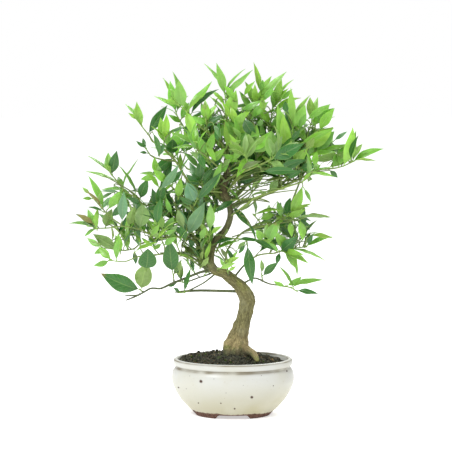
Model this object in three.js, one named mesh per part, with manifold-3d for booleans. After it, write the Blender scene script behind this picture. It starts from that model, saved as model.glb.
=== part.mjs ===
// A limequat bonsai in its glazed oval pot. Millimetres, +Z up, the floor at Z = 0.
// The plant is laid out as it is seen from the front: a point is [across, height, depth], where
// depth grows away from the viewer and moves the point along the viewer's line of sight.
import * as THREE from "three";
import { mergeVertices } from "three/addons/utils/BufferGeometryUtils.js";
import Module from "manifold-3d";

const wasm = await Module();
wasm.setup();

// Driving dimensions.
const GAP = 0.3;
const VIEWER_DISTANCE = 1793;
const VIEWER_HEIGHT = 362;
const BOX_MIDDLE = [-5.5, 16.2];

const POT_DEPTH_SHARE = 0.78;
const POT_SIDES = 28;
const BELLY_RADIUS = 70.8;
const RIM_RADIUS = 69;
const RIM_HEIGHT = 65.5;
const MOUTH_RADIUS = 62.8;
const FOOT_RADIUS = 43.5;
const FOOT_HEIGHT = 4.5;
const FLOOR_HEIGHT = 11;
const DRAIN_RADIUS = 5;
const DRAIN_SPACING = 44;
const DRAIN_SIDES = 10;
const WIDE_FOOT_GAP = 19;
const DEEP_FOOT_GAP = 11;

const SOIL_EDGE_HEIGHT = 61;
const SOIL_MOUND = 13;
const MOUND_REACH = 34;
const SOIL_TILT = [-0.05, 0.05];
const SOIL_LUMPS = [0.8, 0.5];
const SOIL_CLEARANCE = 0.5;
const SOIL_RINGS = [50, 38, 26, 14, 0];
const TRUNK_HOLLOW = 0.5;
const ROOT_HOLLOW = 0.6;
const TRUNK_FOOT = [5, 0];

const SPUR_LENGTH = 4;
const TWIG_SIDES = 3;
const BRANCH_SIDES = 5;
const THIN_BRANCH_SIDES = 4;
const THIN_BRANCH = 2;
const SMALLEST_DETAIL = 0.1;
const WOOD_DETAIL = 0.4;
const CORNER_GAP = 0.004;
const TRUNK_SIDES = 9;
const TWIG_RADIUS = 1.3;
const TWIG_TIP_RADIUS = 0.9;
const LATER_TWIG = 0.85;
const SPUR_RADIUS = 1.45;
const ROOT_DEPTH = 0.6;
const ROOT_SPREAD = 0.12;
const ROOT_TRIES = 12;
const PETIOLE_LENGTH = 3.4;
const PETIOLE_SIZE = 1.5;
const RIB_THICKNESS = 1.5;
const LEAF_ROOM = 0.5;
const SHARED_FOOT = 1.5;
const LAID_WIDTH = [0.3, 9];
const LEAF_STATIONS = [[0.34, 0.5, 1], [0.7, 0.31, 0.9]];
const GROWN_WIDTH = 0.36;
const GROWN_LENGTH = [0.75, 0.35];
const GROWN_PLACES = [0.25, 0.75];
const GROWN_AHEAD = [0.35, 0.5];
const GOLDEN_TURN = 137.5;
const FREE_TURN = 40;
const LIFT = 0.35;
const LAID_STEPS = [0, 7, -7, 14, -14, 21, -21, 28, -28];
const GROWN_TURNS = [0, 40, -40, 80, -80, 120, -120, 160];
const SMALL_LEAF = 30;
const LEAF_FOLD = 0.3;
const LEAF_ARCH = 0.07;

const ROUGHNESS = { glaze: 0.25, soil: 0.95, bark: 0.85, leaf: 0.5 };
const COLOURS = {
  glaze: 0xece8d2,
  soil: 0x35342a,
  bark: 0x84795c,
  bright: 0x8fca55,
  mid: 0x5f9c3c,
  dark: 0x3c7a36,
  blue: 0x6ea67a,
  pale: 0x86a865,
};

// Vectors.
const add = (a, b) => [a[0] + b[0], a[1] + b[1], a[2] + b[2]];
const sub = (a, b) => [a[0] - b[0], a[1] - b[1], a[2] - b[2]];
const times = (a, s) => [a[0] * s, a[1] * s, a[2] * s];
const dot = (a, b) => a[0] * b[0] + a[1] * b[1] + a[2] * b[2];
const size = (a) => Math.sqrt(dot(a, a));
const unit = (a) => times(a, 1 / size(a));
const cross = (a, b) => [
  a[1] * b[2] - a[2] * b[1],
  a[2] * b[0] - a[0] * b[2],
  a[0] * b[1] - a[1] * b[0],
];

// A point of the front view, set back by its depth along the line of sight.
function seen([across, height, depth]) {
  const stretch = 1 + depth / VIEWER_DISTANCE;
  return [across * stretch, depth, VIEWER_HEIGHT + (height - VIEWER_HEIGHT) * stretch];
}

// Seeded draws between 0 and 1.
let seed = 20261;
function draw() {
  seed = (seed * 16807) % 2147483647;
  return seed / 2147483647;
}

// The trunk: [across, height, depth, radius].
const TRUNK = [
  [4, 50, 0, 14.6], [4, 74, 0, 14.6], [5.4, 84, 0, 13], [8.6, 96, 0, 10.8],
  [12, 110, -1, 8.6], [15, 124, -2, 8.6], [16, 135, -2, 8.6], [9, 148, -2, 7.6],
  [0, 156, -2, 6.6], [-10, 163, -2, 5.6], [-21, 167, -1, 5.2], [-26, 176, 0, 4.8],
  [-24, 191, 1, 4.2], [-18, 204, 2, 3.8], [-10, 212, 2, 3.6], [-5, 222, 1, 3.5],
  [-3, 232, 0, 3.2], [-4, 241, 0, 3.2], [-6, 248, 0, 4], [-10, 255, 0, 4.6],
  [-11, 264, 0, 4.6], [-8, 274, 0, 4.2], [-6, 283, 0, 3.6], [-8, 296, 0, 2.8],
];

// Woody branches: a radius at each end and [across, height, depth] points, the first in the wood.
const BRANCHES = [
  [6, 4, [16, 137, -2], [25, 134, -2]],
  [6, 2.6, [10, 78, -4], [17, 74, -12], [24, 70, -22], [29, 61, -32]],
  [5, 2, [0, 76, 2], [-8, 71, -2], [-16, 64, -6]],
  [6, 2.4, [5, 78, 4], [4, 72, 18], [-2, 66, 28]],
  [2.7, 1.3, [-24, 168, 0], [-33, 173, -2], [-36, 189, -3], [-41, 198, -2], [-54, 217, 4],
    [-63, 228, 7], [-78, 241, 10]],
  [2, 1, [-24, 167, -1], [-37, 165, -6], [-57, 157, -12], [-70, 152, -16], [-83, 146, -20],
    [-95, 146, -22], [-109, 138.5, -22], [-125, 137.7, -22]],
  [1.2, 1, [-107, 139.5, -22], [-114, 136, -20], [-124, 132, -18]],
  [1.2, 1, [12, 142.5, 2], [-37, 143.6, 12], [-67, 141.7, 18]],
  [1.2, 1, [-18, 165, -2], [-33, 153, -8], [-50, 144, -11]],
  [1.2, 1, [-20, 165, 2], [-38, 159, 8], [-50, 154.6, 12]],
  [1.4, 1, [-25, 168, -1], [-38, 172, -10], [-48.5, 180, -18], [-60, 184.5, -24],
    [-72, 187, -30], [-88, 185, -34]],
  [1.3, 1, [9, 150, 0], [25, 158, -8], [41, 151.7, -12], [55, 149.4, -15]],
  [1.4, 1, [0, 157, 2], [12, 172, 8], [26.5, 183.3, 12], [36, 186, 14], [48, 187, 16]],
  [1.6, 1, [-12, 164, 2], [-9, 175, 8], [-6.5, 190, 12], [2, 202, 12], [11.5, 211, 11],
    [20, 215, 10], [41, 219, 6], [49.5, 223, 4]],
  [1.2, 1, [-16, 207, 2], [-2, 204, -6], [15, 203, -14], [27, 202, -20]],
  [2.2, 1.2, [-4, 241, 0], [23, 249, 10], [38, 255, 15], [55, 262, 18], [77, 273, 21],
    [100, 283.4, 22]],
  [2.1, 1.3, [-9, 254, 0], [1, 251, 10], [8, 257, 18], [15, 264, 24], [29, 280, 32], [40, 296, 38]],
  [1.2, 1, [-5, 248, -2], [26.5, 250, -10], [41, 246.6, -14]],
  [1.4, 1, [-4, 229, 0], [14, 242, -14], [26.5, 251, -22], [57, 262, -32], [74, 267.3, -36]],
  [1.2, 1, [-10, 256, 0], [-16, 257.5, -6], [-28, 258.3, -14]],
  [1.9, 1.2, [-11, 264, 0], [-37, 265.7, 10], [-52, 271.5, 14], [-66, 293, 18], [-81, 308, 18],
    [-92, 315.6, 18]],
  [1.2, 1, [-66, 293, 18], [-78, 294, 11], [-90, 297, 6]],
  [1.8, 1.2, [-8, 292, 0], [-12.7, 312.7, -6], [-35, 330, -12], [-44, 340, -14]],
  [1.5, 1.1, [-9, 288, 0], [-26, 299, 14], [-42.6, 311, 24], [-50, 321, 28]],
  [1.9, 1.3, [-8, 293, 0], [-5, 315, 4], [-7, 330, 4]],
  [1.8, 1.2, [-7, 288, 0], [6, 308, 10], [16, 328, 14]],
  [1.4, 1, [-24, 191, 1], [-34, 212, -12], [-45, 235.5, -18], [-54, 248, -20], [-66, 259, -20]],
  [1.5, 1.1, [-43, 201, -1], [-65, 206, -12], [-84, 204, -20], [-98, 210, -24]],
  [1.2, 1, [-80, 204.5, -18], [-92, 202, -10], [-102, 199, -4]],
  [1.8, 1.1, [-8, 272, 0], [5, 278, -18], [20, 284, -40], [34, 290, -58]],
  [1.5, 1.1, [-8, 280, 0], [-18, 287, -20], [-28, 296, -40]],
  [1.8, 1.1, [-9, 268, 0], [6, 276, 24], [25, 284, 48], [42, 290, 70]],
  [1.8, 1.1, [-9, 270, 0], [-24, 275, 26], [-40, 280, 52], [-52, 284, 70]],
  [1.5, 1, [-4, 236, 0], [2, 240, 24], [8, 243, 48], [14, 246, 62]],
  [1.5, 1, [-41, 198, -2], [-50, 204, 22], [-62, 210, 45], [-72, 216, 60]],
  [1.3, 1, [50, 260, 17], [66, 276, 34], [84, 288, 48]],
];
// Leafy sprays. root lies in the wood; the first shoot goes on from there and each later one starts
// on an earlier one. A leaf is [foot across, foot height, tip across, tip height, seen width,
// depth step, kind]; more leaves of the given length follow by the rule of growth.
const SPRAYS = [
  {
    name: "left_tip", tone: "mid", root: [-78, 241, 10], more: 2, length: 30,
    shoots: [[[-90, 240, 6], [-104, 244, 2], [-111, 251, 0], [-124, 258, -2], [-133, 270, -4],
      [-139, 277, -5]]],
    leaves: [[-139, 277, -167, 299, 3.5, 4], [-133, 269, -169, 281, 3.5, 10],
      [-139, 277, -133, 305, 12, -6, "dark"], [-138, 276, -143, 303, 11, 6, "mid"],
      [-127, 261, -109, 295, 4, 12], [-111, 252, -131, 288, 4, -16],
      [-124, 258, -151, 260, 4, 0],
      [-127, 260, -143, 238, 10, -8], [-124, 257, -129, 229, 12, 10, "blue"],
      [-115, 253, -106, 232, 8, -10, "dark"], [-107, 248, -98, 274, 9, 10, "dark"]],
  },
  {
    name: "left_reach", tone: "mid", root: [-98, 210, -24], more: 3, length: 26,
    shoots: [[[-106, 214, -26], [-126, 218, -30], [-143, 216, -32], [-158, 215.5, -33]],
      [[-126, 218, -30], [-139, 227, -32], [-148, 236, -34], [-163, 253, -38]]],
    leaves: [[-158, 215.5, -167, 238, 8, 6], [-158, 215.5, -155, 240, 6, -12],
      [-158, 215.5, -181, 232, 6, -4, "dark"], [-158, 215.5, -188.5, 221, 4, 6],
      [-156, 215.5, -171, 206, 4, 8], [-147, 216, -139, 238, 12, 13, "pale"],
      [-121, 217, -114, 240, 10, 8, "pale"], [-107, 214, -104, 243, 17, -6, "pale"],
      [-149, 237, -166, 276, 7, 4], [-163, 253, -173, 263, 4, 2],
      [-160, 250, -173, 250, 4, -8],
      [-140, 228, -126, 246, 8, -8, "dark"]],
  },
  {
    name: "left_middle", tone: "mid", root: [-102, 199, -4], more: 2, length: 24,
    shoots: [[[-108, 197, -2], [-114, 192, 0], [-126, 190, 2], [-141, 192, 4], [-150, 193, 5]]],
    leaves: [[-132, 191, -161, 209, 13, -8, "pale"], [-150, 193, -168, 204.5, 7, 8, "bright"],
      [-128, 190, -135, 208, 7, 14, "bright"], [-122, 191, -119, 213, 7, -12],
      [-146, 192, -160, 186, 6, 0], [-114, 192, -112, 174, 6, 8, "dark"]],
  },
  {
    name: "left_arch", tone: "mid", root: [-88, 185, -34], more: 1, length: 24,
    shoots: [[[-97, 184, -36], [-109, 183, -38], [-125, 177, -40], [-141, 178.5, -42]],
      [[-97, 184, -36], [-101, 176, -38], [-100, 168, -39]]],
    leaves: [[-141, 178.5, -161, 172.5, 7, -4], [-139, 178.5, -155, 194, 9, 8],
      [-134, 178, -130, 206, 7, -8], [-100, 168, -98, 192, 21, -14, "dark"]],
  },
  {
    name: "low_left_tip", tone: "dark", root: [-104, 142, -22], more: 0, length: 30,
    shoots: [[[-106, 143.5, -30], [-107, 144.5, -36]]],
    leaves: [[-107, 144.5, -152.5, 163.5, 19.5, -6, "dark"], [-106, 144, -99, 174, 20, -12, "pale"]],
  },
  {
    name: "low_left", tone: "dark", root: [-68, 153, -15], more: 0, length: 24,
    shoots: [[[-68.5, 159, -20], [-69.5, 165, -23]]],
    leaves: [[-69.5, 165, -73, 202, 18.5, -6, "dark"], [-69, 160, -59, 180, 6, 4, "pale"]],
  },
  {
    name: "low_twig_front", tone: "dark", root: [-50, 144, -11], more: 0, length: 20,
    shoots: [[[-56, 141.5, -13], [-61, 141, -14]]],
    leaves: [[-55, 142, -48.5, 170, 6, -6, "dark"], [-60, 141, -69, 147, 4, -4]],
  },
  {
    name: "low_twig_back", tone: "dark", root: [-50, 154.6, 12], more: 0, length: 20,
    shoots: [[[-56, 153, 14], [-62, 154, 16]]],
    leaves: [[-61, 154, -58, 173, 6, 6, "pale"], [-62, 154, -77, 149, 5, 5, "dark"],
      [-58, 153.5, -64, 170, 6, 12, "dark"]],
  },
  {
    name: "centre_left", tone: "blue", root: [-47, 238, -18], more: 1, length: 28,
    shoots: [[[-44, 243, -26], [-41, 249, -31]]],
    leaves: [[-43, 245, -52, 268, 15, -4, "blue"], [-41, 248, -13, 281, 10, -14, "dark"],
      [-44, 243, -62, 252, 7, -8, "dark"]],
  },
  {
    name: "centre_pale", tone: "blue", root: [-53, 215.5, 3.5], more: 1, length: 26,
    shoots: [[[-55, 211, -7], [-52, 208, -17]]],
    leaves: [[-52, 208.5, -32, 246, 16, -8, "blue"], [-54.5, 211, -62, 239, 9, -8],
      [-53, 209, -70, 218, 7, -10, "dark"]],
  },
  {
    name: "centre_front", tone: "bright", root: [-25.5, 196.5, -4], more: 1, length: 20,
    shoots: [[[-27, 203, -9], [-26, 214, -15]]],
    leaves: [[-26, 213, -26, 245, 10, -6, "bright"], [-27, 205, -39, 224, 6, -4],
      [-26.5, 208, -12, 218, 5, -8, "bright"]],
  },
  {
    name: "left_inner", tone: "dark", root: [-66, 231, 7.5], more: 4, length: 27,
    shoots: [[[-74, 233, -2], [-82, 237, -9], [-87, 244, -13]]],
    leaves: [[-82, 237, -93, 262, 10, -4, "dark"], [-86, 243, -80, 270, 11, -10, "dark"],
      [-78, 235, -98, 240, 9, -14, "dark"]],
  },
  {
    name: "long_twig", tone: "mid", root: [-66, 259, -20], more: 3, length: 27,
    shoots: [[[-71, 264, -22], [-79, 271, -24], [-86, 275, -25]]],
    leaves: [[-75, 268, -92, 284, 9, -10], [-86, 275, -90, 298, 8, 0],
      [-73, 266, -57, 283, 8, -8, "dark"], [-86, 275, -106, 272, 7, 6]],
  },
  {
    name: "upper_left_curl", tone: "dark", root: [-90, 297, 6], more: 1, length: 18,
    shoots: [[[-95, 300, 4], [-99, 306, 2]]],
    leaves: [[-99, 306, -111, 316, 4, 0, "dark"], [-96, 302, -107, 303, 3.5, -4, "dark"]],
  },
  {
    name: "upper_left_tip", tone: "bright", root: [-92, 315.6, 18], more: 1, length: 24,
    shoots: [[[-96, 322, 17], [-103, 331, 16], [-109, 339, 15]]],
    leaves: [[-109, 339, -123, 358, 4, 4], [-104, 332, -110, 361, 10, -6, "bright"],
      [-97, 324, -75, 357, 12, 4, "dark"], [-109, 339, -120, 348, 4, -6]],
  },
  {
    name: "upper_left_bright", tone: "bright", root: [-80, 307.5, 18], more: 1, length: 24,
    shoots: [[[-79, 313, 9], [-78, 319, 4]]],
    leaves: [[-79, 313, -83, 343, 12, -6, "bright"], [-78, 319, -76, 347, 9, -8, "bright"],
      [-78, 318, -58, 333, 4, 0], [-79, 314, -86, 298, 7, -8, "dark"]],
  },
  {
    name: "upper_left_low", tone: "dark", root: [-66, 293, 18], more: 3, length: 25,
    shoots: [[[-68, 297, 28], [-71, 302, 35]]],
    leaves: [[-70, 300, -69, 318, 14, -10, "dark"], [-68, 297, -93, 277, 12, -4],
      [-69, 299, -84, 263, 9, 6, "dark"]],
  },
  {
    name: "top_left", tone: "bright", root: [-44, 340, -14], more: 1, length: 28,
    shoots: [[[-48.5, 345, -15], [-54.5, 351, -16], [-62.5, 357, -18]]],
    leaves: [[-57, 353, -62, 386, 14, -6, "bright"], [-62.5, 357, -69, 395, 6, 4, "bright"],
      [-53, 349.5, -24, 384, 8, 8], [-52, 348.5, -34, 369, 5, -8],
      [-49, 345.5, -16, 375, 7, 16], [-49, 345, -56, 362, 6, 14],
      [-54, 350, -44, 318, 11.5, -10],
      [-62.5, 357, -80, 362, 5, -6]],
  },
  {
    name: "top_left_inner", tone: "mid", root: [-30, 326, -11], more: 2, length: 25,
    shoots: [[[-30, 332, -18], [-30, 339, -22]]],
    leaves: [[-30, 338, -32, 363, 9, 0], [-30.5, 334, -12, 346, 6, -6, "dark"],
      [-30, 335, -47, 344, 7, -8]],
  },
  {
    name: "top_left_back", tone: "mid", root: [-50, 321, 28], more: 3, length: 28,
    shoots: [[[-57.5, 334, 29], [-64, 345, 30], [-66, 352, 30]]],
    leaves: [[-65, 349, -72, 385, 12, -4], [-66, 352, -80, 388, 6, 4, "bright"],
      [-66, 352, -90, 367, 5, 0], [-58.5, 336, -74, 346, 6, -8],
      [-60, 339, -50, 360, 8, 8]],
  },
  {
    name: "top", tone: "bright", root: [-7, 330, 4], more: 2, length: 28,
    shoots: [[[-7.5, 337, 3], [-8, 350, 1], [-9, 369, 0]]],
    leaves: [[-9, 368, -33, 404, 5, 6], [-9, 368, -19, 405, 10, -4, "bright"],
      [-9, 369, 14, 398, 4, 10], [-8.8, 365, 22.5, 397, 7, -4],
      [-8.5, 361, 4, 384, 8, 6, "pale"],
      [-7.8, 342, 3.5, 374, 15, -10, "bright"], [-8.3, 355, -22, 372, 4, -6],
      [-8, 347, -27, 367, 4, 4]],
  },
  {
    name: "top_right", tone: "bright", root: [16, 328, 14], more: 3, length: 30,
    shoots: [[[19, 340, 14], [25, 354, 13], [31.5, 370, 12]]],
    leaves: [[31.5, 370, 23.5, 405.5, 7, -4, "bright"], [30.5, 366, 61, 395, 8, -6],
      [26, 357, 41, 380, 12, 4], [21, 346, 7, 373, 7, 6],
      [26, 356, 25, 381, 8, -10],
      [20, 342, 41, 361, 9, -8], [19, 340, 25, 312, 14, -10, "dark"], [31, 369, 44, 390, 6, 6]],
  },
  {
    name: "right_top_near", tone: "bright", root: [40, 296, 38], more: 4, length: 33,
    shoots: [[[41, 306, 37], [42, 325, 34], [44, 345, 31], [46, 360, 29]]],
    leaves: [[45, 357, 55.5, 388, 10, -4, "bright"], [46, 360, 69, 386, 4, 6],
      [45, 352, 63.5, 376, 7, -8], [44, 346, 78, 365, 6, 4],
      [43, 335, 27, 357, 9, -6],
      [42, 325, 60, 346, 10, -10, "bright"], [42, 318, 25, 336, 9, 6, "dark"]],
  },
  {
    name: "right_top_tall", tone: "bright", root: [70, 269.5, 20], more: 4, length: 33,
    shoots: [[[67, 285, 10], [65, 300, 6], [67, 318, 5], [69, 335, 5]]],
    leaves: [[65, 305, 50.5, 358, 15, -12, "bright"], [65, 302, 57.5, 349, 13, -22, "bright"],
      [69, 335, 66, 377, 9, -2, "bright"], [68.5, 330, 82.5, 357.5, 13, 4, "bright"],
      [68, 326, 59.5, 362, 10, 12, "dark"], [69, 334, 88, 368, 6, 10],
      [66, 290, 86, 308, 12, -12]],
  },
  {
    name: "right_top_far", tone: "mid", root: [88, 277.5, 21.5], more: 3, length: 33,
    shoots: [[[84, 292, 15], [84, 308, 12], [86, 325, 12], [90, 338, 12]]],
    leaves: [[88, 333, 110.5, 358, 12, 0], [90, 338, 115, 353.5, 14, -8],
      [90, 338, 97, 366, 8, 4, "bright"], [84, 308, 115, 332, 17, -10, "bright"],
      [84, 298, 119.5, 303, 6, 4], [84.5, 314, 70, 336, 9, 6]],
  },
  {
    name: "far_right", tone: "mid", root: [100, 283.4, 22], more: 1, length: 30,
    shoots: [[[109, 284, 22], [118, 285, 22], [127, 287.4, 22], [136.5, 292, 22]]],
    leaves: [[136.5, 292, 173, 307, 7, -4], [136.5, 292, 164, 293, 4, 8, "pale"],
      [135, 291, 141, 328, 8, -4], [127, 287.4, 137, 332, 14, -10, "bright"],
      [114, 284.7, 123, 304, 9, 9], [109, 284, 141.5, 310, 13, -16, "pale"],
      [108, 284, 120, 274, 6, 8, "dark"], [121, 286, 128, 312, 11, 14]],
  },
  {
    name: "front_right", tone: "pale", root: [34, 290, -58], more: 5, length: 31,
    shoots: [[[40, 293, -66], [47, 298, -72], [54, 305, -76]]],
    leaves: [[43, 295, 44, 328, 15, 0, "pale"], [38, 292.5, 60, 284, 8, -8]],
  },
  {
    name: "front_middle", tone: "pale", root: [20, 284, -40], more: 4, length: 31,
    shoots: [[[17, 292, -50], [14, 300, -56]]],
    leaves: [[16, 294, 18, 324, 15, -4, "pale"], [15, 298, -6, 312, 9, -8]],
  },
  {
    name: "front_left", tone: "mid", root: [-28, 296, -40], more: 7, length: 31,
    shoots: [[[-34, 301, -48], [-40, 306, -56], [-46, 313, -62]]],
    leaves: [],
  },
  {
    name: "back_right", tone: "mid", root: [42, 290, 70], more: 9, length: 35,
    shoots: [[[48, 296, 80], [56, 304, 90], [62, 314, 98]],
      [[48, 296, 80], [44, 308, 88], [42, 320, 92]]],
    leaves: [],
  },
  {
    name: "back_left", tone: "mid", root: [-52, 284, 70], more: 9, length: 35,
    shoots: [[[-58, 290, 80], [-67, 298, 88], [-74, 307, 94]],
      [[-58, 290, 80], [-54, 302, 86], [-52, 314, 90]]],
    leaves: [],
  },
  {
    name: "back_low", tone: "mid", root: [14, 246, 62], more: 6, length: 33,
    shoots: [[[17, 250, 70], [22, 257, 80], [28, 264, 88]]],
    leaves: [],
  },
  {
    name: "back_left_low", tone: "dark", root: [-72, 216, 60], more: 8, length: 33,
    shoots: [[[-80, 221, 68], [-90, 226, 76], [-99, 233, 82]]],
    leaves: [],
  },
  {
    name: "right_back", tone: "mid", root: [84, 288, 48], more: 8, length: 34,
    shoots: [[[90, 292, 56], [98, 298, 63], [107, 306, 68]]],
    leaves: [],
  },
  {
    name: "right_front", tone: "mid", root: [74, 267.3, -36], more: 7, length: 32,
    shoots: [[[79, 269, -39], [87, 275, -43], [94, 283, -46]]],
    leaves: [],
  },
  {
    name: "head_left", tone: "dark", root: [-28, 258.3, -14], more: 4, length: 26,
    shoots: [[[-33, 262, -19], [-38, 268, -24]]],
    leaves: [[-38, 268, -36, 297, 10, -4], [-36, 265, -54, 278, 9, -6],
      [-35, 264, -20, 284, 10, -10], [-38, 268, -50, 292, 9, 6]],
  },
  {
    name: "head_front", tone: "mid", root: [-8, 292, 0], more: 6, length: 32,
    shoots: [[[-3, 299, -10], [3, 307, -18], [8, 316, -24]]],
    leaves: [],
  },
  {
    name: "crown_inner", tone: "mid", root: [25, 276, 29], more: 7, length: 32,
    shoots: [[[24, 287, 20], [28, 299, 14], [34, 312, 10]]],
    leaves: [],
  },
  {
    name: "crown_right", tone: "dark", root: [56, 262.3, 18], more: 7, length: 33,
    shoots: [[[54, 276, 6], [51, 288, -4], [52, 302, -10]]],
    leaves: [],
  },
  {
    name: "right_upper", tone: "mid", root: [49.5, 223, 4], more: 0, length: 26,
    shoots: [[[55, 226.5, 2], [61, 229, 0], [67, 232, -1]], [[55, 226.5, 2], [66, 225, -2],
      [79, 227, -5]]],
    leaves: [[56, 227, 51, 247, 8, 4], [61, 229, 66, 251, 9, 12, "dark"],
      [66, 231.5, 79.5, 264, 12, -6], [67, 232, 80, 248, 5, 6, "blue"],
      [66, 231.5, 90, 244, 5, -10, "bright"], [79, 227, 112, 229, 6, -4, "pale"],
      [77, 226.7, 80.5, 201, 9, -6],
      [66, 225, 68, 205, 7, -6], [55, 226.5, 40, 197, 8, -8],
      [62, 229, 84, 238, 8, -14]],
  },
  {
    name: "right_arching", tone: "mid", root: [34, 217.7, 7.5], more: 0, length: 24,
    shoots: [[[30, 224, 1], [24, 231, -6]]],
    leaves: [[24, 231, 56, 236, 4, -6], [29, 225, 48, 232, 8, 8], [26, 229, 22, 256, 4, -8, "pale"]],
  },
  {
    name: "right_middle", tone: "mid", root: [48, 187, 16], more: 1, length: 26,
    shoots: [[[54, 189, 17], [68, 192.5, 19], [83, 194, 20]]],
    leaves: [[55, 189, 74, 206, 14, -12, "dark"], [56, 189.5, 77, 207, 4, 8],
      [54, 189, 50, 173, 6, -8, "dark"], [55, 189, 87.5, 174.5, 7, -12, "bright"],
      [66, 192, 107, 177.5, 4, -4, "bright"], [58, 190, 71, 170, 6, 6, "bright"],
      [83, 194, 115, 206, 5, 0], [82, 194, 89, 211, 5, 8, "dark"],
      [54, 189, 29, 203, 6, -6], [66, 192, 47, 212, 11, -16],
      [60, 190.5, 82, 185, 7, -20], [62, 191, 74, 160, 5, -6]],
  },
  {
    name: "centre_hanging", tone: "dark", root: [15, 203, -14], more: 0, length: 24,
    shoots: [[[16, 199, -23], [16.6, 196.5, -28]]],
    leaves: [[16.6, 196.5, 22.4, 150, 13, -4, "dark"], [16.4, 198, 6, 186, 4, 0]],
  },
  {
    name: "centre_right", tone: "mid", root: [27, 202, -20], more: 0, length: 24,
    shoots: [[[35, 201.5, -23.5], [40, 201, -26]]],
    leaves: [[40, 201, 49.5, 222, 13, -6], [38, 201, 52, 188, 6, 4],
      [36, 201.3, 40, 222, 6, 8], [35, 201.5, 27, 214, 9, -8]],
  },
  {
    name: "right_low_tip", tone: "mid", root: [55, 149.4, -15], more: 0, length: 24,
    shoots: [[[61, 148.3, -16], [66.5, 147, -17], [72.5, 143.6, -18]]],
    leaves: [[60, 148.5, 79.5, 160, 7, 6], [59.5, 148.5, 46, 155, 5, -6],
      [67, 147, 105, 156, 5.5, -2], [72.5, 143.6, 98.5, 140, 6, -4, "dark"],
      [71, 145, 52.5, 172, 4, 8]],
  },
  {
    name: "right_low", tone: "dark", root: [34, 154.6, -10], more: 0, length: 24,
    shoots: [[[33.5, 159, -17], [33, 162, -21]]],
    leaves: [[33, 162, 32, 180, 5, 0, "pale"], [33.3, 160, 52.5, 176.5, 9, -4, "dark"]],
  },
  {
    name: "trunk_shoots", tone: "bright", root: [-5, 162, -7], more: 0, length: 16,
    shoots: [[[-6, 165, -14], [-7, 170, -20]]],
    leaves: [[-7, 170, -1, 182, 4, -2, "bright"], [-6, 166, 4, 172, 4, -5, "bright"],
      [-7, 169, -15, 181, 4.5, 0, "bright"], [-6.5, 167, 6, 190, 5, 5]],
  },
  {
    name: "arch_shoots", tone: "mid", root: [-60, 184.5, -24], more: 3, length: 22,
    shoots: [[[-62, 190, -30], [-65, 197, -33]]],
    leaves: [],
  },
  {
    name: "left_filling", tone: "dark", root: [-76, 204.8, -16.5], more: 5, length: 25,
    shoots: [[[-79, 212, -23], [-83, 219, -27], [-87, 227, -29]]],
    leaves: [],
  },
  {
    name: "upper_left_inner", tone: "mid", root: [-52, 271.5, 14], more: 5, length: 27,
    shoots: [[[-56, 277, 24], [-61, 285, 30]]],
    leaves: [],
  },
  {
    name: "heart_left", tone: "mid", root: [-9, 270, -3], more: 2, length: 30,
    shoots: [[[-13, 275, -13], [-20, 282, -20], [-27, 290, -24], [-31, 300, -26]]],
    leaves: [[-27, 290, -8, 308, 9, -4], [-22, 284, -46, 282, 9, -6],
      [-31, 300, -22, 327, 9, -4], [-31, 299, -44, 324, 10, 4],
      [-20, 282, -31, 262, 10, -8], [-16, 278, -3, 294, 8, -10],
      [-28, 292, -50, 303, 9, 8, "pale"]],
  },
  {
    name: "heart_right", tone: "mid", root: [-5, 284, -2], more: 1, length: 30,
    shoots: [[[1, 288, -12], [9, 293, -18], [17, 299, -22], [24, 306, -24]]],
    leaves: [[5, 290, -5, 320, 11, -4, "pale"], [17, 299, 14, 326, 15, -6, "pale"],
      [22, 304, 43, 327, 11, -6], [24, 306, 27, 335, 10, 6],
      [12, 295, 33, 286, 8, -6], [20, 302, 48, 309, 7, -4, "pale"],
      [8, 292, -13, 301, 8, -8], [15, 297, 4, 274, 9, -10]],
  },
  {
    name: "heart_top", tone: "bright", root: [6, 308, 10], more: 2, length: 30,
    shoots: [[[3, 314, 0], [1, 322, -6], [4, 332, -10]]],
    leaves: [[3, 314, -10, 340, 9, -6], [4, 330, 14, 349, 11, -4],
      [3, 326, 22, 336, 9, -8], [2, 320, -19, 330, 9, 4],
      [4, 332, -3, 356, 8, 4], [1, 321, 17, 314, 9, -4]],
  },
  {
    name: "heart_back", tone: "dark", root: [8, 257, 18], more: 1, length: 30,
    shoots: [[[6, 266, 14], [5, 276, 12], [8, 287, 11]]],
    leaves: [[5, 276, -10, 293, 10, 8], [6, 268, 25, 274, 9, -4],
      [8, 287, 15, 311, 10, 8], [7, 284, 28, 292, 10, -6], [8, 287, -5, 306, 8, 2]],
  },
  {
    name: "right_heart", tone: "dark", root: [77, 273, 21], more: 1, length: 28,
    shoots: [[[76, 280, 13], [74, 287, 6]]],
    leaves: [[74, 287, 83, 309, 12, -6], [75, 283, 97, 290, 10, -6],
      [75, 285, 58, 298, 11, -4], [76, 281, 60, 277, 9, -4],
      [74, 286, 72, 310, 9, 6]],
  },
  {
    name: "left_heart", tone: "mid", root: [-78, 187, -31.5], more: 2, length: 24,
    shoots: [[[-79, 195, -36], [-82, 203, -39], [-80, 213, -41]]],
    leaves: [[-80, 213, -88, 236, 9, -4], [-80, 211, -68, 229, 9, 4],
      [-82, 203, -97, 214, 7, -6, "pale"], [-79, 196, -64, 206, 7, -4],
      [-81, 199, -92, 191, 5, 0], [-80, 208, -66, 214, 5, -6]],
  },
];

// Shapes as manifold solids.
function solid(geometry) {
  geometry.deleteAttribute("normal");
  geometry.deleteAttribute("uv");
  const merged = mergeVertices(geometry, 1e-4);
  const triangles = [];
  for (let i = 0; i < merged.index.count; i += 3) {
    const [a, b, c] = [0, 1, 2].map((k) => merged.index.getX(i + k));
    if (a !== b && b !== c && c !== a) triangles.push(a, b, c);
  }
  return new wasm.Manifold(new wasm.Mesh({
    numProp: 3,
    vertProperties: merged.attributes.position.array,
    triVerts: new Uint32Array(triangles),
  }));
}

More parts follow.
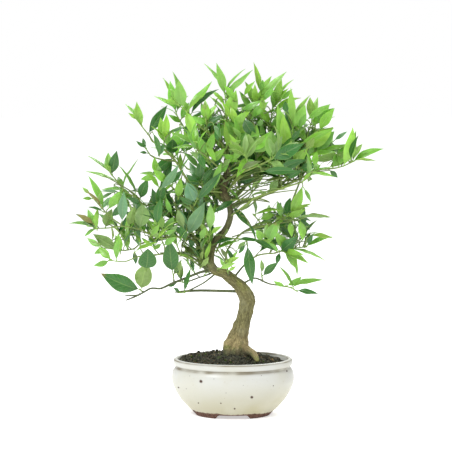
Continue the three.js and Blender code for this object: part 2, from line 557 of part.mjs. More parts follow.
// Solids fused into one, without the slivers that fusing leaves.
function joined(solids, detail = SMALLEST_DETAIL) {
  const whole = solids.reduce((sum, solidPart) => sum.add(solidPart));
  return whole.asOriginal().simplify(detail);
}

// True if no two corners of a solid lie within a hair of each other.
function cornersApart(shape) {
  const { vertProperties: values } = shape.getMesh();
  const corners = [];
  for (let i = 0; i < values.length; i += 3) corners.push(values.subarray(i, i + 3));
  corners.sort((a, b) => a[0] - b[0]);
  return corners.every((corner, i) => {
    for (let j = i + 1; j < corners.length && corners[j][0] - corner[0] < CORNER_GAP; j++) {
      if (size(sub(corners[j], corner)) < CORNER_GAP) return false;
    }
    return true;
  });
}

function part(name, shape, colour, roughness) {
  const made = shape.getMesh();
  const geometry = new THREE.BufferGeometry();
  const position = new THREE.BufferAttribute(new Float32Array(made.vertProperties), 3);
  geometry.setAttribute("position", position);
  geometry.setIndex(Array.from(made.triVerts));
  const material = new THREE.MeshStandardMaterial({ color: colour, roughness, metalness: 0 });
  const mesh = new THREE.Mesh(geometry, material);
  mesh.name = name;
  return mesh;
}

// Directions along and across a line, carried on from point to point without a twist.
function framesAlong(line) {
  let side = null;
  return line.map((point, i) => {
    const next = line[Math.min(i + 1, line.length - 1)];
    const tangent = unit(sub(next, line[Math.max(i - 1, 0)]));
    if (!side) side = cross(tangent, Math.abs(tangent[1]) > 0.9 ? [1, 0, 0] : [0, 1, 0]);
    side = unit(sub(side, times(tangent, dot(side, tangent))));
    return { point, tangent, side, up: cross(side, tangent) };
  });
}

// A cylinder bent along a line, with its own radius at each point.
function bentTube(line, radii, sides) {
  const rings = line.length - 1;
  const frames = framesAlong(line);
  const tube = new THREE.CylinderGeometry(1, 1, rings, sides, rings);
  const position = tube.attributes.position;
  for (let i = 0; i < position.count; i++) {
    const ring = Math.round(position.getY(i) + rings / 2);
    const { point, side, up } = frames[ring];
    const across = times(side, position.getX(i) * radii[ring]);
    const over = times(up, position.getZ(i) * radii[ring]);
    position.setXYZ(i, ...add(point, add(across, over)));
  }
  return solid(tube);
}

const fade = (from, to, count) =>
  Array.from({ length: count }, (_, i) => from + ((to - from) * i) / (count - 1));

// The pot: a profile of [radius, height] turned round and pressed oval.
function ovalTurned(profile) {
  const points = profile.map(([radius, height]) => new THREE.Vector2(radius, height));
  const turned = new THREE.LatheGeometry(points, POT_SIDES);
  turned.rotateX(Math.PI / 2);
  turned.scale(1, POT_DEPTH_SHARE, 1);
  return turned;
}

const INNER_WALL = [
  [FOOT_RADIUS, FLOOR_HEIGHT], [52, 18], [59, 28], [63.5, 38], [64.6, 46],
  [MOUTH_RADIUS - 0.8, 55],
];

// An upright-sided bar through the foot ring, arched at its top, which leaves a gap between feet.
function footGap(halfWidth, turn) {
  const outline = new THREE.Shape([
    [-halfWidth, -1], [halfWidth, -1], [halfWidth - 4, FOOT_HEIGHT - 1],
    [halfWidth - 8, FOOT_HEIGHT], [8 - halfWidth, FOOT_HEIGHT], [4 - halfWidth, FOOT_HEIGHT - 1],
  ].map(([x, z]) => new THREE.Vector2(x, z)));
  const reach = 2 * BELLY_RADIUS;
  const bar = new THREE.ExtrudeGeometry(outline, { depth: reach, bevelEnabled: false });
  bar.translate(0, 0, -reach / 2);
  bar.rotateX(Math.PI / 2);
  bar.rotateZ(turn);
  return solid(bar);
}

function drainHole(across) {
  const hole = new THREE.CylinderGeometry(DRAIN_RADIUS, DRAIN_RADIUS, 2 * FLOOR_HEIGHT, DRAIN_SIDES);
  hole.rotateX(Math.PI / 2);
  hole.translate(across, 0, FLOOR_HEIGHT / 2);
  return solid(hole);
}

function potShape() {
  const bowl = solid(ovalTurned([
    [0, FLOOR_HEIGHT], ...INNER_WALL, [MOUTH_RADIUS, RIM_HEIGHT - 3],
    [MOUTH_RADIUS + 1.2, RIM_HEIGHT - 0.8], [MOUTH_RADIUS + 3.2, RIM_HEIGHT],
    [RIM_RADIUS - 1, RIM_HEIGHT - 1], [RIM_RADIUS, RIM_HEIGHT - 3.5],
    [RIM_RADIUS - 0.4, RIM_HEIGHT - 7], [RIM_RADIUS - 2.6, RIM_HEIGHT - 9],
    [RIM_RADIUS - 2.4, RIM_HEIGHT - 10.5], [BELLY_RADIUS - 1.3, 51], [BELLY_RADIUS, 45],
    [BELLY_RADIUS - 0.4, 39], [BELLY_RADIUS - 3.9, 29], [BELLY_RADIUS - 10.6, 18],
    [FOOT_RADIUS + 8.5, 8.8], [FOOT_RADIUS + 6, 6.5], [FOOT_RADIUS, 0],
    [FOOT_RADIUS - 6, 0], [FOOT_RADIUS - 6.5, FOOT_HEIGHT], [0, FOOT_HEIGHT],
  ].reverse()));
  const cuts = [footGap(WIDE_FOOT_GAP, 0), footGap(DEEP_FOOT_GAP, Math.PI / 2)];
  cuts.push(drainHole(-DRAIN_SPACING / 2), drainHole(DRAIN_SPACING / 2));
  return bowl.subtract(joined(cuts));
}

// Height of the soil: a mound round the trunk, higher on the left and at the back, with lumps.
function soilHeight(x, y) {
  const away = Math.hypot(x - TRUNK_FOOT[0], y - TRUNK_FOOT[1]);
  const mound = SOIL_MOUND * Math.exp(-((away / MOUND_REACH) ** 2));
  const large = SOIL_LUMPS[0] * Math.sin(0.31 * x + 1) * Math.cos(0.37 * y);
  const lumps = large + SOIL_LUMPS[1] * Math.sin(0.9 * x + 0.7 * y);
  return SOIL_EDGE_HEIGHT + mound + SOIL_TILT[0] * x + SOIL_TILT[1] * y + lumps;
}

// The soil fills the pot to just clear of its wall. The trunk and the roots lie in plain hollows.
function soilShape(hollows) {
  const clear = SOIL_CLEARANCE;
  const wall = INNER_WALL.map(([radius, height]) => [radius - clear, height + clear]);
  const edge = [MOUTH_RADIUS - 0.8 - clear, SOIL_EDGE_HEIGHT];
  const top = SOIL_RINGS.map((radius) => [radius, SOIL_EDGE_HEIGHT]);
  const fill = ovalTurned([[0, FLOOR_HEIGHT + clear], ...wall, edge, ...top]);
  const position = fill.attributes.position;
  for (let i = 0; i < position.count; i++) {
    const [x, y, z] = [position.getX(i), position.getY(i), position.getZ(i)];
    if (z > SOIL_EDGE_HEIGHT - 0.1) position.setZ(i, soilHeight(x, y));
  }
  return solid(fill).subtract(joined(hollows));
}

// A leaf: a slim stalk that widens into a pointed blade, folded along its rib and arched. Its
// root lies inside the twig. A margin makes it larger on all sides, to test for room.
function leafShape({ root, tip, normal, width }, margin = 0, aside = 0) {
  const along = sub(tip, root);
  const length = size(along);
  const forward = times(along, 1 / length);
  const side = cross(forward, normal);
  const stalk = PETIOLE_LENGTH / length;
  const stations = [
    [stalk, PETIOLE_SIZE / 2, PETIOLE_SIZE],
    ...LEAF_STATIONS.map(([share, half, thick]) =>
      [stalk + (1 - stalk) * share, width * half, RIB_THICKNESS * thick]),
  ];
  if (length < SMALL_LEAF) stations.pop();
  const vertices = [add(sub(root, times(forward, ROOT_DEPTH)), times(side, aside))];
  stations.forEach(([share, half, thickness], i) => {
    const arch = LEAF_ARCH * length * 4 * share * (1 - share);
    const middle = add(add(root, times(along, share)), times(normal, arch));
    const rise = i === 0 ? 0 : LEAF_FOLD * half;
    const edge = add(middle, times(normal, rise));
    vertices.push(
      add(edge, times(side, -half - margin)),
      add(middle, times(normal, thickness / 2 + margin)),
      add(edge, times(side, half + margin)),
      add(middle, times(normal, -thickness / 2 - margin)),
    );
  });
  vertices.push(add(tip, times(forward, margin)));
  const geometry = new THREE.BufferGeometry();
  geometry.setAttribute("position", new THREE.Float32BufferAttribute(vertices.flat(), 3));
  geometry.setIndex(leafFaces(stations.length));
  return solid(geometry);
}

// Faces of a leaf. Left and right halves are mirrored, and both faces are split alike.
function leafFaces(stations) {
  const faces = [];
  const first = 1;
  const last = first + 4 * stations;
  for (let k = 0; k < 4; k++) {
    const next = (k + 1) % 4;
    faces.push(0, first + next, first + k);
    faces.push(last, last - 4 + k, last - 4 + next);
    for (let s = 0; s + 1 < stations; s++) {
      const [a, b] = [first + 4 * s + k, first + 4 * s + next];
      const [c, d] = [a + 4, b + 4];
      if (k % 2) faces.push(a, b, c, b, d, c);
      else faces.push(a, b, d, a, d, c);
    }
  }
  return faces;
}

// The nearest point of a spray's shoots, in the front view, to a leaf's foot.
function footOn(shoots, across, height) {
  let best = null;
  let least = Infinity;
  for (const shoot of shoots) {
    for (let i = 0; i + 1 < shoot.length; i++) {
      const [a, b] = [shoot[i], shoot[i + 1]];
      const [dx, dz] = [b[0] - a[0], b[1] - a[1]];
      const reach = ((across - a[0]) * dx + (height - a[1]) * dz) / (dx * dx + dz * dz + 1e-9);
      const share = Math.min(Math.max(reach, 0), 1);
      const foot = a.map((v, k) => v + (b[k] - v) * share);
      const gap = Math.hypot(foot[0] - across, foot[1] - height);
      if (gap < least) [least, best] = [gap, foot];
    }
  }
  return best;
}

// A leaf laid out by hand: it shows the given width to the viewer, and a pale one its underside.
function laidLeaf(shoots, [footAcross, footHeight, tipAcross, tipHeight, showing, step], kind) {
  const foot = footOn(shoots, footAcross, footHeight);
  const reach = Math.hypot(tipAcross - foot[0], tipHeight - foot[1]);
  const width = Math.max(showing, Math.min(LAID_WIDTH[0] * reach, LAID_WIDTH[1]));
  const face = showing / width;
  const choices = LAID_STEPS.map((more) => {
    const root = seen(foot);
    const tip = seen([tipAcross, tipHeight, foot[2] + step + more]);
    const forward = unit(sub(tip, root));
    const toViewer = unit(sub([0, -1, 0], times(forward, -forward[1])));
    const upward = cross(forward, toViewer);
    const flat = times(upward, (upward[2] < 0 ? -1 : 1) * Math.sqrt(1 - face * face));
    const normal = unit(add(times(toViewer, kind === "pale" ? -face : face), flat));
    return { root, tip, normal, width };
  });
  return { kind, choices };
}

// A leaf by the rule of growth: each stands a golden turn round the twig from the one before.
function grownLeaf(shoots, index, count, longest, kind) {
  const shoot = shoots[index % shoots.length];
  const share = GROWN_PLACES[0] + (GROWN_PLACES[1] * (index + 1)) / count;
  const spans = shoot.length - 1;
  const place = Math.min(share * spans, spans);
  const span = Math.min(Math.floor(place), spans - 1);
  const [a, b] = [seen(shoot[span]), seen(shoot[span + 1])];
  const root = add(a, times(sub(b, a), place - span));
  const tangent = unit(sub(b, a));
  const side = unit(cross(tangent, Math.abs(tangent[2]) > 0.9 ? [0, 1, 0] : [0, 0, 1]));
  const over = cross(side, tangent);
  const [turn, reach, spread, tilt, lean] = [draw(), draw(), draw(), draw(), draw()];
  const length = longest * (GROWN_LENGTH[0] + GROWN_LENGTH[1] * reach);
  const choices = GROWN_TURNS.map((more) => {
    const angle = (turn * FREE_TURN + GOLDEN_TURN * index + more) * (Math.PI / 180);
    const outward = add(times(side, Math.cos(angle)), times(over, Math.sin(angle)));
    const ahead = times(tangent, GROWN_AHEAD[0] + GROWN_AHEAD[1] * spread);
    const forward = unit(add(add(ahead, outward), [0, 0, LIFT]));
    const face = add(add(times(outward, -0.35), [tilt - 0.5, -0.6 * lean, 0.8]), times(tangent, 0.4));
    const normal = unit(sub(face, times(forward, dot(face, forward))));
    return { root, tip: add(root, times(forward, length)), normal, width: length * GROWN_WIDTH };
  });
  return { kind, choices };
}

function meet(a, b) {
  const [p, q] = [a.boundingBox(), b.boundingBox()];
  return [0, 1, 2].every((k) => p.min[k] <= q.max[k] && q.min[k] <= p.max[k]);
}

// Room is left between sprays. Within a spray, leaves only share their feet.
const taken = [];
function hasRoom(leaf, spray) {
  const body = leafShape(leaf);
  const room = leafShape(leaf, LEAF_ROOM);
  return taken.every((other) => {
    if (!meet(room, other.shape)) return true;
    if (other.spray !== spray) return room.intersect(other.shape).isEmpty();
    return other.twig || body.intersect(other.shape).volume() < SHARED_FOOT;
  });
}

// Wood: the trunk, and branches that end in a short spur under their own spray. A spray that
// leaves the wood anywhere else has a spur of its own.
const sidesFor = (radius) => (radius < THIN_BRANCH ? THIN_BRANCH_SIDES : BRANCH_SIDES);

function branchTube(line, from, to, larger = 0) {
  const radii = fade(from + larger, to + larger, line.length);
  return bentTube(line, radii, sidesFor(from));
}

const trunkLine = TRUNK.map(([across, height, depth, radius]) => ({
  point: seen([across, height, depth]), radius,
}));
const trunkTube = (stretch, larger) => bentTube(
  stretch.map(({ point }) => point),
  stretch.map(({ radius }) => radius + larger),
  TRUNK_SIDES,
);

const sprays = SPRAYS.map(({ name, tone, root, shoots, leaves, more, length }) => {
  const start = seen(root);
  const outward = unit(sub(seen(shoots[0][0]), start));
  const spurEnd = add(start, times(outward, SPUR_LENGTH));
  const first = [GAP, GAP + 1].map((ahead) => add(spurEnd, times(outward, ahead)));
  const twigs = shoots.map((points, i) => {
    const line = [...(i ? [] : first), ...points.map(seen)];
    const thickness = i ? TWIG_RADIUS * LATER_TWIG : TWIG_RADIUS;
    return bentTube(line, fade(thickness, TWIG_TIP_RADIUS, line.length), TWIG_SIDES);
  });
  const planned = leaves.map((row) => laidLeaf(shoots, row, row[6] ?? tone));
  for (let i = 0; i < more; i++) planned.push(grownLeaf(shoots, i, more, length, tone));
  return { name, tone, root, start, spurEnd, twigs, planned };
});

const branches = BRANCHES.map(([from, to, ...points]) => {
  const line = points.map(seen);
  const own = sprays.find(({ root }) => String(root) === String(points[points.length - 1]));
  if (own) {
    line.push(own.spurEnd);
    own.onBranch = true;
  }
  return branchTube(line, from, to);
});
const spurs = sprays.filter(({ onBranch }) => !onBranch).map(({ start, spurEnd }) =>
  branchTube([start, spurEnd], SPUR_RADIUS, SPUR_RADIUS));
const woodParts = [trunkTube(trunkLine, 0), ...branches, ...spurs];

for (const shape of woodParts) taken.push({ spray: "wood", shape });
for (const { name, twigs } of sprays) {
  for (const shape of twigs) taken.push({ spray: name, shape, twig: true });
}
for (const spray of sprays) {
  spray.leaves = [];
  for (const { choices } of spray.planned) {
    const leaf = choices.find((choice) => hasRoom(choice, spray.name));
    if (!leaf) continue;
    spray.leaves.push(leaf);
    taken.push({ spray: spray.name, shape: leafShape(leaf) });
  }
}

// A spray's twigs and leaves in one. Leaves that share a foot are rooted a little aside of each
// other, in the first way that leaves no two corners of the whole together.
function sprayShape({ twigs, leaves }) {
  let shape = null;
  for (let way = 1; way <= ROOT_TRIES; way++) {
    const rooted = leaves.map((leaf, i) => {
      const aside = ROOT_SPREAD * (((i * (way + 1)) % 5) - 2 + 0.1 * way);
      return leafShape(leaf, 0, aside);
    });
    shape = joined([...twigs, ...rooted]);
    if (cornersApart(shape)) break;
  }
  return shape;
}

// Roots and trunk foot, made larger, leave their hollows in the soil.
const hollowTrunk = trunkTube(trunkLine.slice(0, 4), TRUNK_HOLLOW);
const hollowRoots = BRANCHES.slice(1, 4).map(([from, to, ...points]) =>
  branchTube(points.map(seen), from, to, ROOT_HOLLOW));

const bonsai = new THREE.Group();
bonsai.add(part("pot", potShape(), COLOURS.glaze, ROUGHNESS.glaze));
const soil = soilShape([hollowTrunk, ...hollowRoots]);
bonsai.add(part("soil", soil, COLOURS.soil, ROUGHNESS.soil));
const wood = joined(woodParts, WOOD_DETAIL);
bonsai.add(part("trunk_and_branches", wood, COLOURS.bark, ROUGHNESS.bark));
for (const spray of sprays) {
  const shape = sprayShape(spray);
  bonsai.add(part(`spray_${spray.name}`, shape, COLOURS[spray.tone], ROUGHNESS.leaf));
}
bonsai.position.set(-BOX_MIDDLE[0], -BOX_MIDDLE[1], 0);

export default bonsai;
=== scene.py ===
import math

import bpy
import numpy as np
from mathutils import Euler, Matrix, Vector


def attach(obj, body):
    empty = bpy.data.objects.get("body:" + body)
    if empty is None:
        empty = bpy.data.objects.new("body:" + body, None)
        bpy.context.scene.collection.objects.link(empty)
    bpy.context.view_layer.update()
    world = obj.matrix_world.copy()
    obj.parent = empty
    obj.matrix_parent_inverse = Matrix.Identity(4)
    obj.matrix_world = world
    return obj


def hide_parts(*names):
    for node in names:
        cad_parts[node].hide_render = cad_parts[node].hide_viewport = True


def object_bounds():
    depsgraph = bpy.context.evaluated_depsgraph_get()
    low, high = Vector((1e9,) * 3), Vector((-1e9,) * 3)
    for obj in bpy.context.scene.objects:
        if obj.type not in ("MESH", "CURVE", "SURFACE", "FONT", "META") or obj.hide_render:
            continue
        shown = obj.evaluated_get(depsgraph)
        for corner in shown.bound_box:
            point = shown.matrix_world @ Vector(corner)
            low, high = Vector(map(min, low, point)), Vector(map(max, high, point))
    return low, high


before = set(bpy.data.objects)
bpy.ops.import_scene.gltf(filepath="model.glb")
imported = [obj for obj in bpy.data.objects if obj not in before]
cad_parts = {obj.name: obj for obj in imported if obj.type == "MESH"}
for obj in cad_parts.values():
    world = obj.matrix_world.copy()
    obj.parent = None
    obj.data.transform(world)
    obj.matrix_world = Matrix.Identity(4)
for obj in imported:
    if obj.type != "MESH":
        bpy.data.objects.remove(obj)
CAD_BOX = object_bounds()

# The looks of a limequat bonsai in its glazed oval pot.
# Shapes are laid out in millimetres about the pot's centre, as the solids are, and set down in
# metres in the frame. A point of the plant is [across, height, depth] as seen from the front:
# depth grows away from the viewer and moves the point along the line of sight.
# The solids' rows and rules are repeated here, so that leaves and branches stand where theirs do.

GAP = 0.3
VIEWER_DISTANCE = 1793.0
VIEWER_HEIGHT = 362.0
BOX_MIDDLE = np.array([-5.5, 16.2, 0.0])

POT_DEPTH_SHARE = 0.78
RIM_RADIUS = 69.0
RIM_HEIGHT = 65.5
BELLY_RADIUS = 70.8
MOUTH_RADIUS = 62.8
FOOT_RADIUS = 43.5
FOOT_HEIGHT = 4.5
FLOOR_HEIGHT = 11.0
DRAIN_RADIUS = 5.0
DRAIN_SPACING = 44.0
SOIL_EDGE_HEIGHT = 61.0
SOIL_MOUND = 13.0
MOUND_REACH = 34.0
SOIL_TILT = (-0.05, 0.05)
TRUNK_FOOT = (5.0, 0.0)
SPUR_LENGTH = 4.0
TWIG_RADIUS = 1.3
PETIOLE_LENGTH = 3.4
GROWN_WIDTH = 0.36
LEAF_FOLD = 0.3
LEAF_ARCH = 0.07
GOLDEN_ANGLE = 137.5
# Random turns are drawn up to this many radians.
FULL_TURN = 6.3

# Seeds of the random draws.
LATTICE_SEED = 7
CRUMB_SEED = 11
FINE_SEED = 40
FRONT_SEED = 77
SPRAY_SEED = 100

# The trunk: [across, height, depth, radius].
TRUNK = [
  [4, 50, 0, 14.6], [4, 74, 0, 14.6], [5.4, 84, 0, 13], [8.6, 96, 0, 10.8],
  [12, 110, -1, 8.6], [15, 124, -2, 8.6], [16, 135, -2, 8.6], [9, 148, -2, 7.6],
  [0, 156, -2, 6.6], [-10, 163, -2, 5.6], [-21, 167, -1, 5.2], [-26, 176, 0, 4.8],
  [-24, 191, 1, 4.2], [-18, 204, 2, 3.8], [-10, 212, 2, 3.6], [-5, 222, 1, 3.5],
  [-3, 232, 0, 3.2], [-4, 241, 0, 3.2], [-6, 248, 0, 4], [-10, 255, 0, 4.6],
  [-11, 264, 0, 4.6], [-8, 274, 0, 4.2], [-6, 283, 0, 3.6], [-8, 296, 0, 2.8],
]

# Woody branches: a radius at each end and [across, height, depth] points, the first in the wood.
BRANCHES = [
  [6, 4, [16, 137, -2], [25, 134, -2]],
  [6, 2.6, [10, 78, -4], [17, 74, -12], [24, 70, -22], [29, 61, -32]],
  [5, 2, [0, 76, 2], [-8, 71, -2], [-16, 64, -6]],
  [6, 2.4, [5, 78, 4], [4, 72, 18], [-2, 66, 28]],
  [2.7, 1.3, [-24, 168, 0], [-33, 173, -2], [-36, 189, -3], [-41, 198, -2], [-54, 217, 4],
    [-63, 228, 7], [-78, 241, 10]],
  [2, 1, [-24, 167, -1], [-37, 165, -6], [-57, 157, -12], [-70, 152, -16], [-83, 146, -20],
    [-95, 146, -22], [-109, 138.5, -22], [-125, 137.7, -22]],
  [1.2, 1, [-107, 139.5, -22], [-114, 136, -20], [-124, 132, -18]],
  [1.2, 1, [12, 142.5, 2], [-37, 143.6, 12], [-67, 141.7, 18]],
  [1.2, 1, [-18, 165, -2], [-33, 153, -8], [-50, 144, -11]],
  [1.2, 1, [-20, 165, 2], [-38, 159, 8], [-50, 154.6, 12]],
  [1.4, 1, [-25, 168, -1], [-38, 172, -10], [-48.5, 180, -18], [-60, 184.5, -24],
    [-72, 187, -30], [-88, 185, -34]],
  [1.3, 1, [9, 150, 0], [25, 158, -8], [41, 151.7, -12], [55, 149.4, -15]],
  [1.4, 1, [0, 157, 2], [12, 172, 8], [26.5, 183.3, 12], [36, 186, 14], [48, 187, 16]],
  [1.6, 1, [-12, 164, 2], [-9, 175, 8], [-6.5, 190, 12], [2, 202, 12], [11.5, 211, 11],
    [20, 215, 10], [41, 219, 6], [49.5, 223, 4]],
  [1.2, 1, [-16, 207, 2], [-2, 204, -6], [15, 203, -14], [27, 202, -20]],
  [2.2, 1.2, [-4, 241, 0], [23, 249, 10], [38, 255, 15], [55, 262, 18], [77, 273, 21],
    [100, 283.4, 22]],
  [2.1, 1.3, [-9, 254, 0], [1, 251, 10], [8, 257, 18], [15, 264, 24], [29, 280, 32], [40, 296, 38]],
  [1.2, 1, [-5, 248, -2], [26.5, 250, -10], [41, 246.6, -14]],
  [1.4, 1, [-4, 229, 0], [14, 242, -14], [26.5, 251, -22], [57, 262, -32], [74, 267.3, -36]],
  [1.2, 1, [-10, 256, 0], [-16, 257.5, -6], [-28, 258.3, -14]],
  [1.9, 1.2, [-11, 264, 0], [-37, 265.7, 10], [-52, 271.5, 14], [-66, 293, 18], [-81, 308, 18],
    [-92, 315.6, 18]],
  [1.2, 1, [-66, 293, 18], [-78, 294, 11], [-90, 297, 6]],
  [1.8, 1.2, [-8, 292, 0], [-12.7, 312.7, -6], [-35, 330, -12], [-44, 340, -14]],
  [1.5, 1.1, [-9, 288, 0], [-26, 299, 14], [-42.6, 311, 24], [-50, 321, 28]],
  [1.9, 1.3, [-8, 293, 0], [-5, 315, 4], [-7, 330, 4]],
  [1.8, 1.2, [-7, 288, 0], [6, 308, 10], [16, 328, 14]],
  [1.4, 1, [-24, 191, 1], [-34, 212, -12], [-45, 235.5, -18], [-54, 248, -20], [-66, 259, -20]],
  [1.5, 1.1, [-43, 201, -1], [-65, 206, -12], [-84, 204, -20], [-98, 210, -24]],
  [1.2, 1, [-80, 204.5, -18], [-92, 202, -10], [-102, 199, -4]],
  [1.8, 1.1, [-8, 272, 0], [5, 278, -18], [20, 284, -40], [34, 290, -58]],
  [1.5, 1.1, [-8, 280, 0], [-18, 287, -20], [-28, 296, -40]],
  [1.8, 1.1, [-9, 268, 0], [6, 276, 24], [25, 284, 48], [42, 290, 70]],
  [1.8, 1.1, [-9, 270, 0], [-24, 275, 26], [-40, 280, 52], [-52, 284, 70]],
  [1.5, 1, [-4, 236, 0], [2, 240, 24], [8, 243, 48], [14, 246, 62]],
  [1.5, 1, [-41, 198, -2], [-50, 204, 22], [-62, 210, 45], [-72, 216, 60]],
  [1.3, 1, [50, 260, 17], [66, 276, 34], [84, 288, 48]],
]

